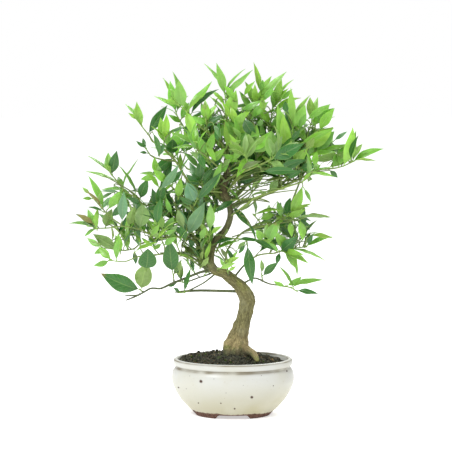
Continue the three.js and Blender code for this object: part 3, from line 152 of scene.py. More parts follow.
# Leafy sprays: (name, tone, root in the wood, count and length of grown leaves, shoots, leaves).
# The first shoot goes on from the root and each later one starts on an earlier one. A leaf is
# [foot across, foot height, tip across, tip height, seen width, depth step, kind], with a kind
# only where it isn't the spray's tone. The grown leaves follow by the rule of growth.
SPRAYS = [
  ("left_tip", "mid", [-78, 241, 10], 2, 30,
   [[[-90, 240, 6], [-104, 244, 2], [-111, 251, 0], [-124, 258, -2], [-133, 270, -4],
     [-139, 277, -5]]],
   [[-139, 277, -167, 299, 3.5, 4], [-133, 269, -169, 281, 3.5, 10],
     [-139, 277, -133, 305, 12, -6, "dark"], [-138, 276, -143, 303, 11, 6, "mid"],
     [-127, 261, -109, 295, 4, 12], [-111, 252, -131, 288, 4, -16],
     [-124, 258, -151, 260, 4, 0],
     [-127, 260, -143, 238, 10, -8], [-124, 257, -129, 229, 12, 10, "blue"],
     [-115, 253, -106, 232, 8, -10, "dark"], [-107, 248, -98, 274, 9, 10, "dark"]],
  ),
  ("left_reach", "mid", [-98, 210, -24], 3, 26,
   [[[-106, 214, -26], [-126, 218, -30], [-143, 216, -32], [-158, 215.5, -33]],
     [[-126, 218, -30], [-139, 227, -32], [-148, 236, -34], [-163, 253, -38]]],
   [[-158, 215.5, -167, 238, 8, 6], [-158, 215.5, -155, 240, 6, -12],
     [-158, 215.5, -181, 232, 6, -4, "dark"], [-158, 215.5, -188.5, 221, 4, 6],
     [-156, 215.5, -171, 206, 4, 8], [-147, 216, -139, 238, 12, 13, "pale"],
     [-121, 217, -114, 240, 10, 8, "pale"], [-107, 214, -104, 243, 17, -6, "pale"],
     [-149, 237, -166, 276, 7, 4], [-163, 253, -173, 263, 4, 2],
     [-160, 250, -173, 250, 4, -8],
     [-140, 228, -126, 246, 8, -8, "dark"]],
  ),
  ("left_middle", "mid", [-102, 199, -4], 2, 24,
   [[[-108, 197, -2], [-114, 192, 0], [-126, 190, 2], [-141, 192, 4], [-150, 193, 5]]],
   [[-132, 191, -161, 209, 13, -8, "pale"], [-150, 193, -168, 204.5, 7, 8, "bright"],
     [-128, 190, -135, 208, 7, 14, "bright"], [-122, 191, -119, 213, 7, -12],
     [-146, 192, -160, 186, 6, 0], [-114, 192, -112, 174, 6, 8, "dark"]],
  ),
  ("left_arch", "mid", [-88, 185, -34], 1, 24,
   [[[-97, 184, -36], [-109, 183, -38], [-125, 177, -40], [-141, 178.5, -42]],
     [[-97, 184, -36], [-101, 176, -38], [-100, 168, -39]]],
   [[-141, 178.5, -161, 172.5, 7, -4], [-139, 178.5, -155, 194, 9, 8],
     [-134, 178, -130, 206, 7, -8], [-100, 168, -98, 192, 21, -14, "dark"]],
  ),
  ("low_left_tip", "dark", [-104, 142, -22], 0, 30,
   [[[-106, 143.5, -30], [-107, 144.5, -36]]],
   [[-107, 144.5, -152.5, 163.5, 19.5, -6, "dark"], [-106, 144, -99, 174, 20, -12, "pale"]],
  ),
  ("low_left", "dark", [-68, 153, -15], 0, 24,
   [[[-68.5, 159, -20], [-69.5, 165, -23]]],
   [[-69.5, 165, -73, 202, 18.5, -6, "dark"], [-69, 160, -59, 180, 6, 4, "pale"]],
  ),
  ("low_twig_front", "dark", [-50, 144, -11], 0, 20,
   [[[-56, 141.5, -13], [-61, 141, -14]]],
   [[-55, 142, -48.5, 170, 6, -6, "dark"], [-60, 141, -69, 147, 4, -4]],
  ),
  ("low_twig_back", "dark", [-50, 154.6, 12], 0, 20,
   [[[-56, 153, 14], [-62, 154, 16]]],
   [[-61, 154, -58, 173, 6, 6, "pale"], [-62, 154, -77, 149, 5, 5, "dark"],
     [-58, 153.5, -64, 170, 6, 12, "dark"]],
  ),
  ("centre_left", "blue", [-47, 238, -18], 1, 28,
   [[[-44, 243, -26], [-41, 249, -31]]],
   [[-43, 245, -52, 268, 15, -4, "blue"], [-41, 248, -13, 281, 10, -14, "dark"],
     [-44, 243, -62, 252, 7, -8, "dark"]],
  ),
  ("centre_pale", "blue", [-53, 215.5, 3.5], 1, 26,
   [[[-55, 211, -7], [-52, 208, -17]]],
   [[-52, 208.5, -32, 246, 16, -8, "blue"], [-54.5, 211, -62, 239, 9, -8],
     [-53, 209, -70, 218, 7, -10, "dark"]],
  ),
  ("centre_front", "bright", [-25.5, 196.5, -4], 1, 20,
   [[[-27, 203, -9], [-26, 214, -15]]],
   [[-26, 213, -26, 245, 10, -6, "bright"], [-27, 205, -39, 224, 6, -4],
     [-26.5, 208, -12, 218, 5, -8, "bright"]],
  ),
  ("left_inner", "dark", [-66, 231, 7.5], 4, 27,
   [[[-74, 233, -2], [-82, 237, -9], [-87, 244, -13]]],
   [[-82, 237, -93, 262, 10, -4, "dark"], [-86, 243, -80, 270, 11, -10, "dark"],
     [-78, 235, -98, 240, 9, -14, "dark"]],
  ),
  ("long_twig", "mid", [-66, 259, -20], 3, 27,
   [[[-71, 264, -22], [-79, 271, -24], [-86, 275, -25]]],
   [[-75, 268, -92, 284, 9, -10], [-86, 275, -90, 298, 8, 0],
     [-73, 266, -57, 283, 8, -8, "dark"], [-86, 275, -106, 272, 7, 6]],
  ),
  ("upper_left_curl", "dark", [-90, 297, 6], 1, 18,
   [[[-95, 300, 4], [-99, 306, 2]]],
   [[-99, 306, -111, 316, 4, 0, "dark"], [-96, 302, -107, 303, 3.5, -4, "dark"]],
  ),
  ("upper_left_tip", "bright", [-92, 315.6, 18], 1, 24,
   [[[-96, 322, 17], [-103, 331, 16], [-109, 339, 15]]],
   [[-109, 339, -123, 358, 4, 4], [-104, 332, -110, 361, 10, -6, "bright"],
     [-97, 324, -75, 357, 12, 4, "dark"], [-109, 339, -120, 348, 4, -6]],
  ),
  ("upper_left_bright", "bright", [-80, 307.5, 18], 1, 24,
   [[[-79, 313, 9], [-78, 319, 4]]],
   [[-79, 313, -83, 343, 12, -6, "bright"], [-78, 319, -76, 347, 9, -8, "bright"],
     [-78, 318, -58, 333, 4, 0, "mid"], [-79, 314, -86, 298, 7, -8, "blue"]],
  ),
  ("upper_left_low", "dark", [-66, 293, 18], 3, 25,
   [[[-68, 297, 28], [-71, 302, 35]]],
   [[-70, 300, -69, 318, 14, -10, "dark"], [-68, 297, -93, 277, 12, -4],
     [-69, 299, -84, 263, 9, 6, "dark"]],
  ),
  ("top_left", "bright", [-44, 340, -14], 1, 28,
   [[[-48.5, 345, -15], [-54.5, 351, -16], [-62.5, 357, -18]]],
   [[-57, 353, -62, 386, 14, -6, "bright"], [-62.5, 357, -69, 395, 6, 4, "bright"],
     [-53, 349.5, -24, 384, 8, 8, "mid"], [-52, 348.5, -34, 369, 5, -8],
     [-49, 345.5, -16, 375, 7, 16, "dark"], [-49, 345, -56, 362, 6, 14],
     [-54, 350, -44, 318, 11.5, -10],
     [-62.5, 357, -80, 362, 5, -6]],
  ),
  ("top_left_inner", "mid", [-30, 326, -11], 2, 25,
   [[[-30, 332, -18], [-30, 339, -22]]],
   [[-30, 338, -32, 363, 9, 0], [-30.5, 334, -12, 346, 6, -6, "dark"],
     [-30, 335, -47, 344, 7, -8]],
  ),
  ("top_left_back", "mid", [-50, 321, 28], 3, 28,
   [[[-57.5, 334, 29], [-64, 345, 30], [-66, 352, 30]]],
   [[-65, 349, -72, 385, 12, -4], [-66, 352, -80, 388, 6, 4, "bright"],
     [-66, 352, -90, 367, 5, 0], [-58.5, 336, -74, 346, 6, -8],
     [-60, 339, -50, 360, 8, 8]],
  ),
  ("top", "bright", [-7, 330, 4], 2, 28,
   [[[-7.5, 337, 3], [-8, 350, 1], [-9, 369, 0]]],
   [[-9, 368, -33, 404, 5, 6], [-9, 368, -19, 405, 10, -4, "bright"],
     [-9, 369, 14, 398, 4, 10], [-8.8, 365, 22.5, 397, 7, -4],
     [-8.5, 361, 4, 384, 8, 6, "pale"],
     [-7.8, 342, 3.5, 374, 15, -10, "bright"], [-8.3, 355, -22, 372, 4, -6],
     [-8, 347, -27, 367, 4, 4]],
  ),
  ("top_right", "bright", [16, 328, 14], 3, 30,
   [[[19, 340, 14], [25, 354, 13], [31.5, 370, 12]]],
   [[31.5, 370, 23.5, 405.5, 7, -4, "bright"], [30.5, 366, 61, 395, 8, -6],
     [26, 357, 41, 380, 12, 4], [21, 346, 7, 373, 7, 6],
     [26, 356, 25, 381, 8, -10],
     [20, 342, 41, 361, 9, -8], [19, 340, 25, 312, 14, -10, "dark"], [31, 369, 44, 390, 6, 6]],
  ),
  ("right_top_near", "bright", [40, 296, 38], 4, 33,
   [[[41, 306, 37], [42, 325, 34], [44, 345, 31], [46, 360, 29]]],
   [[45, 357, 55.5, 388, 10, -4, "bright"], [46, 360, 69, 386, 4, 6],
     [45, 352, 63.5, 376, 7, -8], [44, 346, 78, 365, 6, 4],
     [43, 335, 27, 357, 9, -6],
     [42, 325, 60, 346, 10, -10, "bright"], [42, 318, 25, 336, 9, 6, "dark"]],
  ),
  ("right_top_tall", "bright", [70, 269.5, 20], 4, 33,
   [[[67, 285, 10], [65, 300, 6], [67, 318, 5], [69, 335, 5]]],
   [[65, 305, 50.5, 358, 15, -12, "bright"], [65, 302, 57.5, 349, 13, -22, "bright"],
     [69, 335, 66, 377, 9, -2, "bright"], [68.5, 330, 82.5, 357.5, 13, 4, "bright"],
     [68, 326, 59.5, 362, 10, 12, "dark"], [69, 334, 88, 368, 6, 10],
     [66, 290, 86, 308, 12, -12]],
  ),
  ("right_top_far", "mid", [88, 277.5, 21.5], 3, 33,
   [[[84, 292, 15], [84, 308, 12], [86, 325, 12], [90, 338, 12]]],
   [[88, 333, 110.5, 358, 12, 0], [90, 338, 115, 353.5, 14, -8],
     [90, 338, 97, 366, 8, 4, "bright"], [84, 308, 115, 332, 17, -10, "bright"],
     [84, 298, 119.5, 303, 6, 4], [84.5, 314, 70, 336, 9, 6]],
  ),
  ("far_right", "mid", [100, 283.4, 22], 1, 30,
   [[[109, 284, 22], [118, 285, 22], [127, 287.4, 22], [136.5, 292, 22]]],
   [[136.5, 292, 173, 307, 7, -4], [136.5, 292, 164, 293, 4, 8, "pale"],
     [135, 291, 141, 328, 8, -4], [127, 287.4, 137, 332, 14, -10, "bright"],
     [114, 284.7, 123, 304, 9, 9], [109, 284, 141.5, 310, 13, -16, "pale"],
     [108, 284, 120, 274, 6, 8, "dark"], [121, 286, 128, 312, 11, 14]],
  ),
  ("front_right", "pale", [34, 290, -58], 5, 31,
   [[[40, 293, -66], [47, 298, -72], [54, 305, -76]]],
   [[43, 295, 44, 328, 15, 0, "turned"], [38, 292.5, 60, 284, 8, -8]],
  ),
  ("front_middle", "pale", [20, 284, -40], 4, 31,
   [[[17, 292, -50], [14, 300, -56]]],
   [[16, 294, 18, 324, 15, -4, "pale"], [15, 298, -6, 312, 9, -8, "turned"]],
  ),
  ("front_left", "mid", [-28, 296, -40], 7, 31,
   [[[-34, 301, -48], [-40, 306, -56], [-46, 313, -62]]],
   [],
  ),
  ("back_right", "mid", [42, 290, 70], 9, 35,
   [[[48, 296, 80], [56, 304, 90], [62, 314, 98]],
     [[48, 296, 80], [44, 308, 88], [42, 320, 92]]],
   [],
  ),
  ("back_left", "mid", [-52, 284, 70], 9, 35,
   [[[-58, 290, 80], [-67, 298, 88], [-74, 307, 94]],
     [[-58, 290, 80], [-54, 302, 86], [-52, 314, 90]]],
   [],
  ),
  ("back_low", "mid", [14, 246, 62], 6, 33,
   [[[17, 250, 70], [22, 257, 80], [28, 264, 88]]],
   [],
  ),
  ("back_left_low", "dark", [-72, 216, 60], 8, 33,
   [[[-80, 221, 68], [-90, 226, 76], [-99, 233, 82]]],
   [],
  ),
  ("right_back", "mid", [84, 288, 48], 8, 34,
   [[[90, 292, 56], [98, 298, 63], [107, 306, 68]]],
   [],
  ),
  ("right_front", "mid", [74, 267.3, -36], 7, 32,
   [[[79, 269, -39], [87, 275, -43], [94, 283, -46]]],
   [],
  ),
  ("head_left", "dark", [-28, 258.3, -14], 4, 26,
   [[[-33, 262, -19], [-38, 268, -24]]],
   [[-38, 268, -36, 297, 10, -4], [-36, 265, -54, 278, 9, -6],
     [-35, 264, -20, 284, 10, -10], [-38, 268, -50, 292, 9, 6]],
  ),
  ("head_front", "mid", [-8, 292, 0], 6, 32,
   [[[-3, 299, -10], [3, 307, -18], [8, 316, -24]]],
   [],
  ),
  ("crown_inner", "mid", [25, 276, 29], 7, 32,
   [[[24, 287, 20], [28, 299, 14], [34, 312, 10]]],
   [],
  ),
  ("crown_right", "dark", [56, 262.3, 18], 7, 33,
   [[[54, 276, 6], [51, 288, -4], [52, 302, -10]]],
   [],
  ),
  ("right_upper", "mid", [49.5, 223, 4], 0, 26,
   [[[55, 226.5, 2], [61, 229, 0], [67, 232, -1]], [[55, 226.5, 2], [66, 225, -2],
     [79, 227, -5]]],
   [[56, 227, 51, 247, 8, 4], [61, 229, 66, 251, 9, 12, "dark"],
     [66, 231.5, 79.5, 264, 12, -6], [67, 232, 80, 248, 5, 6, "blue"],
     [66, 231.5, 90, 244, 5, -10, "bright"], [79, 227, 112, 229, 6, -4, "pale"],
     [77, 226.7, 80.5, 201, 9, -6],
     [66, 225, 68, 205, 7, -6], [55, 226.5, 40, 197, 8, -8],
     [62, 229, 84, 238, 8, -14]],
  ),
  ("right_arching", "mid", [34, 217.7, 7.5], 0, 24,
   [[[30, 224, 1], [24, 231, -6]]],
   [[24, 231, 56, 236, 4, -6], [29, 225, 48, 232, 8, 8], [26, 229, 22, 256, 4, -8, "pale"]],
  ),
  ("right_middle", "mid", [48, 187, 16], 1, 26,
   [[[54, 189, 17], [68, 192.5, 19], [83, 194, 20]]],
   [[55, 189, 74, 206, 14, -12, "dark"], [56, 189.5, 77, 207, 4, 8],
     [54, 189, 50, 173, 6, -8, "dark"], [55, 189, 87.5, 174.5, 7, -12, "bright"],
     [66, 192, 107, 177.5, 4, -4, "bright"], [58, 190, 71, 170, 6, 6, "bright"],
     [83, 194, 115, 206, 5, 0], [82, 194, 89, 211, 5, 8, "dark"],
     [54, 189, 29, 203, 6, -6], [66, 192, 47, 212, 11, -16],
     [60, 190.5, 82, 185, 7, -20], [62, 191, 74, 160, 5, -6]],
  ),
  ("centre_hanging", "dark", [15, 203, -14], 0, 24,
   [[[16, 199, -23], [16.6, 196.5, -28]]],
   [[16.6, 196.5, 22.4, 150, 13, -4, "dark"], [16.4, 198, 6, 186, 4, 0]],
  ),
  ("centre_right", "mid", [27, 202, -20], 0, 24,
   [[[35, 201.5, -23.5], [40, 201, -26]]],
   [[40, 201, 49.5, 222, 13, -6], [38, 201, 52, 188, 6, 4],
     [36, 201.3, 40, 222, 6, 8], [35, 201.5, 27, 214, 9, -8]],
  ),
  ("right_low_tip", "mid", [55, 149.4, -15], 0, 24,
   [[[61, 148.3, -16], [66.5, 147, -17], [72.5, 143.6, -18]]],
   [[60, 148.5, 79.5, 160, 7, 6], [59.5, 148.5, 46, 155, 5, -6],
     [67, 147, 105, 156, 5.5, -2], [72.5, 143.6, 98.5, 140, 6, -4, "dark"],
     [71, 145, 52.5, 172, 4, 8]],
  ),
  ("right_low", "dark", [34, 154.6, -10], 0, 24,
   [[[33.5, 159, -17], [33, 162, -21]]],
   [[33, 162, 32, 180, 5, 0, "pale"], [33.3, 160, 52.5, 176.5, 9, -4, "dark"]],
  ),
  ("trunk_shoots", "bright", [-5, 162, -7], 0, 16,
   [[[-6, 165, -14], [-7, 170, -20]]],
   [[-7, 170, -1, 182, 4, -2, "bright"], [-6, 166, 4, 172, 4, -5, "bright"],
     [-7, 169, -15, 181, 4.5, 0, "bright"], [-6.5, 167, 6, 190, 5, 5]],
  ),
  ("arch_shoots", "mid", [-60, 184.5, -24], 3, 22,
   [[[-62, 190, -30], [-65, 197, -33]]],
   [],
  ),
  ("left_filling", "dark", [-76, 204.8, -16.5], 5, 25,
   [[[-79, 212, -23], [-83, 219, -27], [-87, 227, -29]]],
   [],
  ),
  ("upper_left_inner", "mid", [-52, 271.5, 14], 5, 27,
   [[[-56, 277, 24], [-61, 285, 30]]],
   [],
  ),
  ("heart_left", "mid", [-9, 270, -3], 2, 30,
   [[[-13, 275, -13], [-20, 282, -20], [-27, 290, -24], [-31, 300, -26]]],
   [[-27, 290, -8, 308, 9, -4], [-22, 284, -46, 282, 9, -6],
     [-31, 300, -22, 327, 9, -4], [-31, 299, -44, 324, 10, 4],
     [-20, 282, -31, 262, 10, -8], [-16, 278, -3, 294, 8, -10],
     [-28, 292, -50, 303, 9, 8, "pale"]],
  ),
  ("heart_right", "mid", [-5, 284, -2], 1, 30,
   [[[1, 288, -12], [9, 293, -18], [17, 299, -22], [24, 306, -24]]],
   [[5, 290, -5, 320, 11, -4, "turned"], [17, 299, 14, 326, 15, -6, "turned"],
     [22, 304, 43, 327, 11, -6], [24, 306, 27, 335, 10, 6],
     [12, 295, 33, 286, 8, -6], [20, 302, 48, 309, 7, -4, "turned"],
     [8, 292, -13, 301, 8, -8], [15, 297, 4, 274, 9, -10]],
  ),
  ("heart_top", "bright", [6, 308, 10], 2, 30,
   [[[3, 314, 0], [1, 322, -6], [4, 332, -10]]],
   [[3, 314, -10, 340, 9, -6], [4, 330, 14, 349, 11, -4],
     [3, 326, 22, 336, 9, -8], [2, 320, -19, 330, 9, 4],
     [4, 332, -3, 356, 8, 4], [1, 321, 17, 314, 9, -4]],
  ),
  ("heart_back", "dark", [8, 257, 18], 1, 30,
   [[[6, 266, 14], [5, 276, 12], [8, 287, 11]]],
   [[5, 276, -10, 293, 10, 8], [6, 268, 25, 274, 9, -4],
     [8, 287, 15, 311, 10, 8], [7, 284, 28, 292, 10, -6], [8, 287, -5, 306, 8, 2]],
  ),
  ("right_heart", "dark", [77, 273, 21], 1, 28,
   [[[76, 280, 13], [74, 287, 6]]],
   [[74, 287, 83, 309, 12, -6], [75, 283, 97, 290, 10, -6],
     [75, 285, 58, 298, 11, -4], [76, 281, 60, 277, 9, -4],
     [74, 286, 72, 310, 9, 6]],
  ),
  ("left_heart", "mid", [-78, 187, -31.5], 2, 24,
   [[[-79, 195, -36], [-82, 203, -39], [-80, 213, -41]]],
   [[-80, 213, -88, 236, 9, -4], [-80, 211, -68, 229, 9, 4],
     [-82, 203, -97, 214, 7, -6, "pale"], [-79, 196, -64, 206, 7, -4],
     [-81, 199, -92, 191, 5, 0], [-80, 208, -66, 214, 5, -6]],
  ),
]


# Vectors and lines.
def vec(*values):
    return np.array(values, float)


def unit(a):
    return a / np.linalg.norm(a)


def seen(point):
    across, height, depth = point
    stretch = 1 + depth / VIEWER_DISTANCE
    return vec(across * stretch, depth, VIEWER_HEIGHT + (height - VIEWER_HEIGHT) * stretch)


def smooth_line(points, steps, ease=0.8):
    """A curve through points of any number of values."""
    p = np.asarray(points, float)
    line = []
    for i in range(len(p) - 1):
        b, c = p[i], p[i + 1]
        leave = (c - p[max(i - 1, 0)]) * 0.5 * ease
        arrive = (p[min(i + 2, len(p) - 1)] - b) * 0.5 * ease
        for s in range(steps):
            t = s / steps
            t2, t3 = t * t, t * t * t
            line.append((2 * t3 - 3 * t2 + 1) * b + (t3 - 2 * t2 + t) * leave
                        + (3 * t2 - 2 * t3) * c + (t3 - t2) * arrive)
    line.append(p[-1])
    return np.array(line)


def smoothstep(low, high, x):
    t = np.clip((x - low) / (high - low), 0, 1)
    return t * t * (3 - 2 * t)


LATTICE_SIZE = 32
LATTICE = np.random.RandomState(LATTICE_SEED).rand(LATTICE_SIZE, LATTICE_SIZE, LATTICE_SIZE)
# Keeps all places on the lattice above zero.
LATTICE_SHIFT = 1000.0


def noise(points, scale):
    """Smooth value noise between -1 and 1, with lumps about scale wide."""
    p = np.asarray(points, float) / scale + LATTICE_SHIFT
    low = np.floor(p).astype(int)
    f = p - low
    f = f * f * (3 - 2 * f)
    total = 0.0
    for i in (0, 1):
        for j in (0, 1):
            for k in (0, 1):
                share = (np.abs(1 - i - f[..., 0]) * np.abs(1 - j - f[..., 1])
                         * np.abs(1 - k - f[..., 2]))
                cell = (low + (i, j, k)) % LATTICE_SIZE
                total = total + share * LATTICE[cell[..., 0], cell[..., 1], cell[..., 2]]
    return 2 * total - 1


# Colours are given as they show on a screen.
def colour(r, g, b):
    c = np.array([r, g, b], float) / 255
    return np.where(c <= 0.04045, c / 12.92, ((c + 0.055) / 1.055) ** 2.4)


def blend(rgb, other, share):
    return rgb * (1 - share) + other * share


def tinted(rgb):
    """One colour, or rows of colours, with full gloss as the fourth value."""
    rgb = np.asarray(rgb, float)
    return np.concatenate([rgb, np.ones((*rgb.shape[:-1], 1))], axis=-1)


def in_frame(points):
    """Turns millimetres about the pot's centre into metres in the frame."""
    return (points - BOX_MIDDLE) / 1000


# The two materials of a leafy piece, in their order on it.
BLADE, STEM = 0, 1


class Skin:
    """Collects vertices, faces, materials and, for each vertex, a tint and a place on its piece."""

    def __init__(self):
        self.verts, self.tints, self.places = [], [], []
        self.faces, self.looks = [], []
        self.count = 0

    def add(self, verts, faces, tint, place, look=0):
        verts = np.asarray(verts, float)
        self.verts.append(verts)
        self.tints.append(np.broadcast_to(np.asarray(tint, float), (len(verts), 4)))
        self.places.append(np.broadcast_to(np.asarray(place, float), (len(verts), 3)))
        base = self.count
        self.faces += [tuple(base + i for i in face) for face in faces]
        self.looks += [look] * len(faces)
        self.count += len(verts)

    def add_tube(self, rgb, look, *shape):
        verts, faces, places = tube(*shape)
        self.add(verts, faces, tinted(rgb), places, look)

    def build(self, name, materials, replaced, sharp):
        data = bpy.data.meshes.new(name)
        data.from_pydata(in_frame(np.concatenate(self.verts)).tolist(), [], self.faces)
        tint = data.attributes.new("tint", "FLOAT_COLOR", "POINT")
        tint.data.foreach_set("color", np.concatenate(self.tints).astype(np.float32).ravel())
        place = data.attributes.new("place", "FLOAT_VECTOR", "POINT")
        place.data.foreach_set("vector", np.concatenate(self.places).astype(np.float32).ravel())
        for material in materials:
            data.materials.append(material)
        data.polygons.foreach_set("material_index", self.looks)
        data.polygons.foreach_set("use_smooth", [True] * len(self.faces))
        data.set_sharp_from_angle(angle=math.radians(sharp))
        piece = bpy.data.objects.new(name, data)
        bpy.context.scene.collection.objects.link(piece)
        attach(piece, "root")
        if replaced:
            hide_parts(*replaced)
        return piece


def strips(rows, columns, closed=True):
    """Faces between rows of vertices, each row with so many columns."""
    faces = []
    for i in range(rows - 1):
        for j in range(columns if closed else columns - 1):
            a, b = i * columns + j, i * columns + (j + 1) % columns
            faces.append((a, b, b + columns, a + columns))
    return faces


def closed_rings(rows, sides):
    """Faces over rings of vertices and over both ends, whose middles are the last two vertices."""
    count = rows * sides
    last = count - sides
    faces = strips(rows, sides)
    faces += [(count, (j + 1) % sides, j) for j in range(sides)]
    faces += [(count + 1, last + j, last + (j + 1) % sides) for j in range(sides)]
    return faces


def tube(line, radii, sides, swell=None):
    """A closed tube along a line. Returns vertices, faces and places: length, turn, radius."""
    line = np.asarray(line, float)
    radii = np.asarray(radii, float)
    lengths = np.concatenate([[0], np.cumsum(np.linalg.norm(np.diff(line, axis=0), axis=1))])
    turn = np.arange(sides) * 2 * np.pi / sides
    verts, places = [], []
    side = None
    for i, point in enumerate(line):
        tangent = unit(line[min(i + 1, len(line) - 1)] - line[max(i - 1, 0)])
        if side is None:
            side = np.cross(tangent, vec(1, 0, 0) if abs(tangent[1]) > 0.9 else vec(0, 1, 0))
        side = unit(side - tangent * np.dot(side, tangent))
        over = np.cross(side, tangent)
        ring = np.outer(np.sin(turn), side) + np.outer(np.cos(turn), over)
        reach = np.full(sides, radii[i])
        if swell is not None:
            reach = swell(point + ring * radii[i], reach, lengths[i], turn)
        verts.append(point + ring * reach[:, None])
        places.append(np.column_stack([np.full(sides, lengths[i]), turn / (2 * np.pi), reach]))
    verts.append([line[0], line[-1]])
    places.append([[0, 0, radii[0]], [lengths[-1], 0, radii[-1]]])
    return np.concatenate(verts), closed_rings(len(line), sides), np.concatenate(places)


# Materials. Their lengths are in metres, and a multiplied colour gives a share for red, green
# and blue.
class Nodes:
    """A small helper for building a node material."""

    def __init__(self, name):
        self.material = bpy.data.materials.new(name)
        self.material.use_nodes = True
        self.tree = self.material.node_tree
        self.shader = self.tree.nodes["Principled BSDF"]
        self.output = self.tree.nodes["Material Output"]

    def new(self, kind, links=(), **settings):
        node = self.tree.nodes.new("ShaderNode" + kind)
        for key, value in settings.items():
            setattr(node, key, value)
        for name, value in dict(links).items():
            self.set(node.inputs[name], value)
        return node

    def set(self, socket, value):
        if isinstance(value, bpy.types.NodeSocket):
            self.tree.links.new(value, socket)
        else:
            socket.default_value = value

    def math(self, operation, a, b=0.0):
        return self.new("Math", {0: a, 1: b}, operation=operation).outputs[0]

    def times(self, a, b):
        return self.math("MULTIPLY", a, b)

    def plus(self, a, b):
        return self.math("ADD", a, b)

    def minus(self, a, b):
        return self.math("SUBTRACT", a, b)

    def ramp(self, value, low, high, to_low=0.0, to_high=1.0):
        links = {"Value": value, "From Min": low, "From Max": high, "To Min": to_low,
                 "To Max": to_high}
        return self.new("MapRange", links, interpolation_type="SMOOTHSTEP").outputs["Result"]

    def mix(self, share, a, b, way="MIX"):
        node = self.new("Mix", data_type="RGBA", blend_type=way)
        self.set(node.inputs["Factor"], share)
        for socket, value in ((node.inputs[6], a), (node.inputs[7], b)):
            if not isinstance(value, bpy.types.NodeSocket):
                value = (*value, 1.0)
            self.set(socket, value)
        return node.outputs[2]

    def attribute(self, name):
        return self.new("Attribute", attribute_name=name)

    def split(self, vector):
        return self.new("SeparateXYZ", {"Vector": vector}).outputs

    def spots(self, vector, scale, detail, rough=0.5):
        links = {"Vector": vector, "Scale": scale, "Detail": detail, "Roughness": rough}
        return self.new("TexNoise", links).outputs["Fac"]

    def where(self):
        return self.new("TexCoord").outputs["Object"]

    def bump(self, height, distance, strength):
        links = {"Height": height, "Distance": distance, "Strength": strength}
        return self.new("Bump", links).outputs["Normal"]

    def finish(self, **sockets):
        names = {"color": "Base Color", "roughness": "Roughness", "normal": "Normal",
                 "specular": "Specular IOR Level"}
        for key, value in sockets.items():
            self.set(self.shader.inputs[names[key]], value)
        return self.material


VEINS = 8.0
VEIN_SLANT = 1.9
LEAF_GLOW = 0.32


def leaf_material():
    n = Nodes("leaf")
    tint = n.attribute("tint")
    u, v = n.split(n.attribute("place").outputs["Vector"])[:2]
    across = n.math("ABSOLUTE", v)
    rib = n.ramp(across, 0.015, 0.08, 1.0, 0.0)
    slanted = n.minus(n.times(u, VEINS), n.times(across, VEIN_SLANT))
    wave = n.math("ABSOLUTE", n.minus(n.math("FRACT", slanted), 0.5))
    vein = n.times(n.ramp(wave, 0.0, 0.1, 1.0, 0.0), n.ramp(across, 0.75, 1.0, 1.0, 0.0))
    where = n.where()
    mottle = n.spots(where, 160.0, 3.0)
    grain = n.spots(where, 900.0, 2.0)
    base = tint.outputs["Color"]
    patchy = n.mix(n.ramp(mottle, 0.35, 0.7, 0.0, 0.5), base, (0.66, 0.8, 0.45), "MULTIPLY")
    lines = n.mix(n.times(vein, 0.1), patchy, colour(190, 222, 120))
    ribbed = n.mix(n.times(rib, 0.2), lines, colour(196, 224, 132))
    rim = n.ramp(across, 0.9, 1.0, 0.0, 0.3)
    edged = n.mix(rim, ribbed, colour(190, 210, 110))
    height = n.plus(n.times(vein, -0.35), n.times(grain, 0.25))
    height = n.plus(height, n.times(rib, -0.5))
    normal = n.bump(height, 0.0004, 0.6)
    dull = n.minus(1.0, tint.outputs["Alpha"])
    roughness = n.plus(n.times(dull, 0.35), n.ramp(mottle, 0.3, 0.7, 0.26, 0.4))
    n.finish(color=edged, roughness=roughness, normal=normal, specular=0.85)
    glow = n.new("BsdfTranslucent", {"Color": edged, "Normal": normal})
    both = n.new("MixShader", {0: LEAF_GLOW, 1: n.shader.outputs[0], 2: glow.outputs[0]})
    n.set(n.output.inputs["Surface"], both.outputs[0])
    return n.material


def twig_material():
    n = Nodes("twig")
    tint = n.attribute("tint").outputs["Color"]
    where = n.where()
    streaks = n.spots(where, 500.0, 3.0)
    dots = n.ramp(n.spots(where, 1400.0, 1.0), 0.62, 0.7)
    patchy = n.mix(n.ramp(streaks, 0.35, 0.7, 0.0, 0.5), tint, (0.6, 0.62, 0.45), "MULTIPLY")
    dotted = n.mix(n.times(dots, 0.3), patchy, colour(190, 185, 140))
    normal = n.bump(streaks, 0.0003, 0.6)
    return n.finish(color=dotted, roughness=0.55, normal=normal, specular=0.35)


# The bark's pattern runs round a cylinder of this radius and this far along per millimetre.
BARK_AROUND, BARK_ALONG = 2.4, 0.07


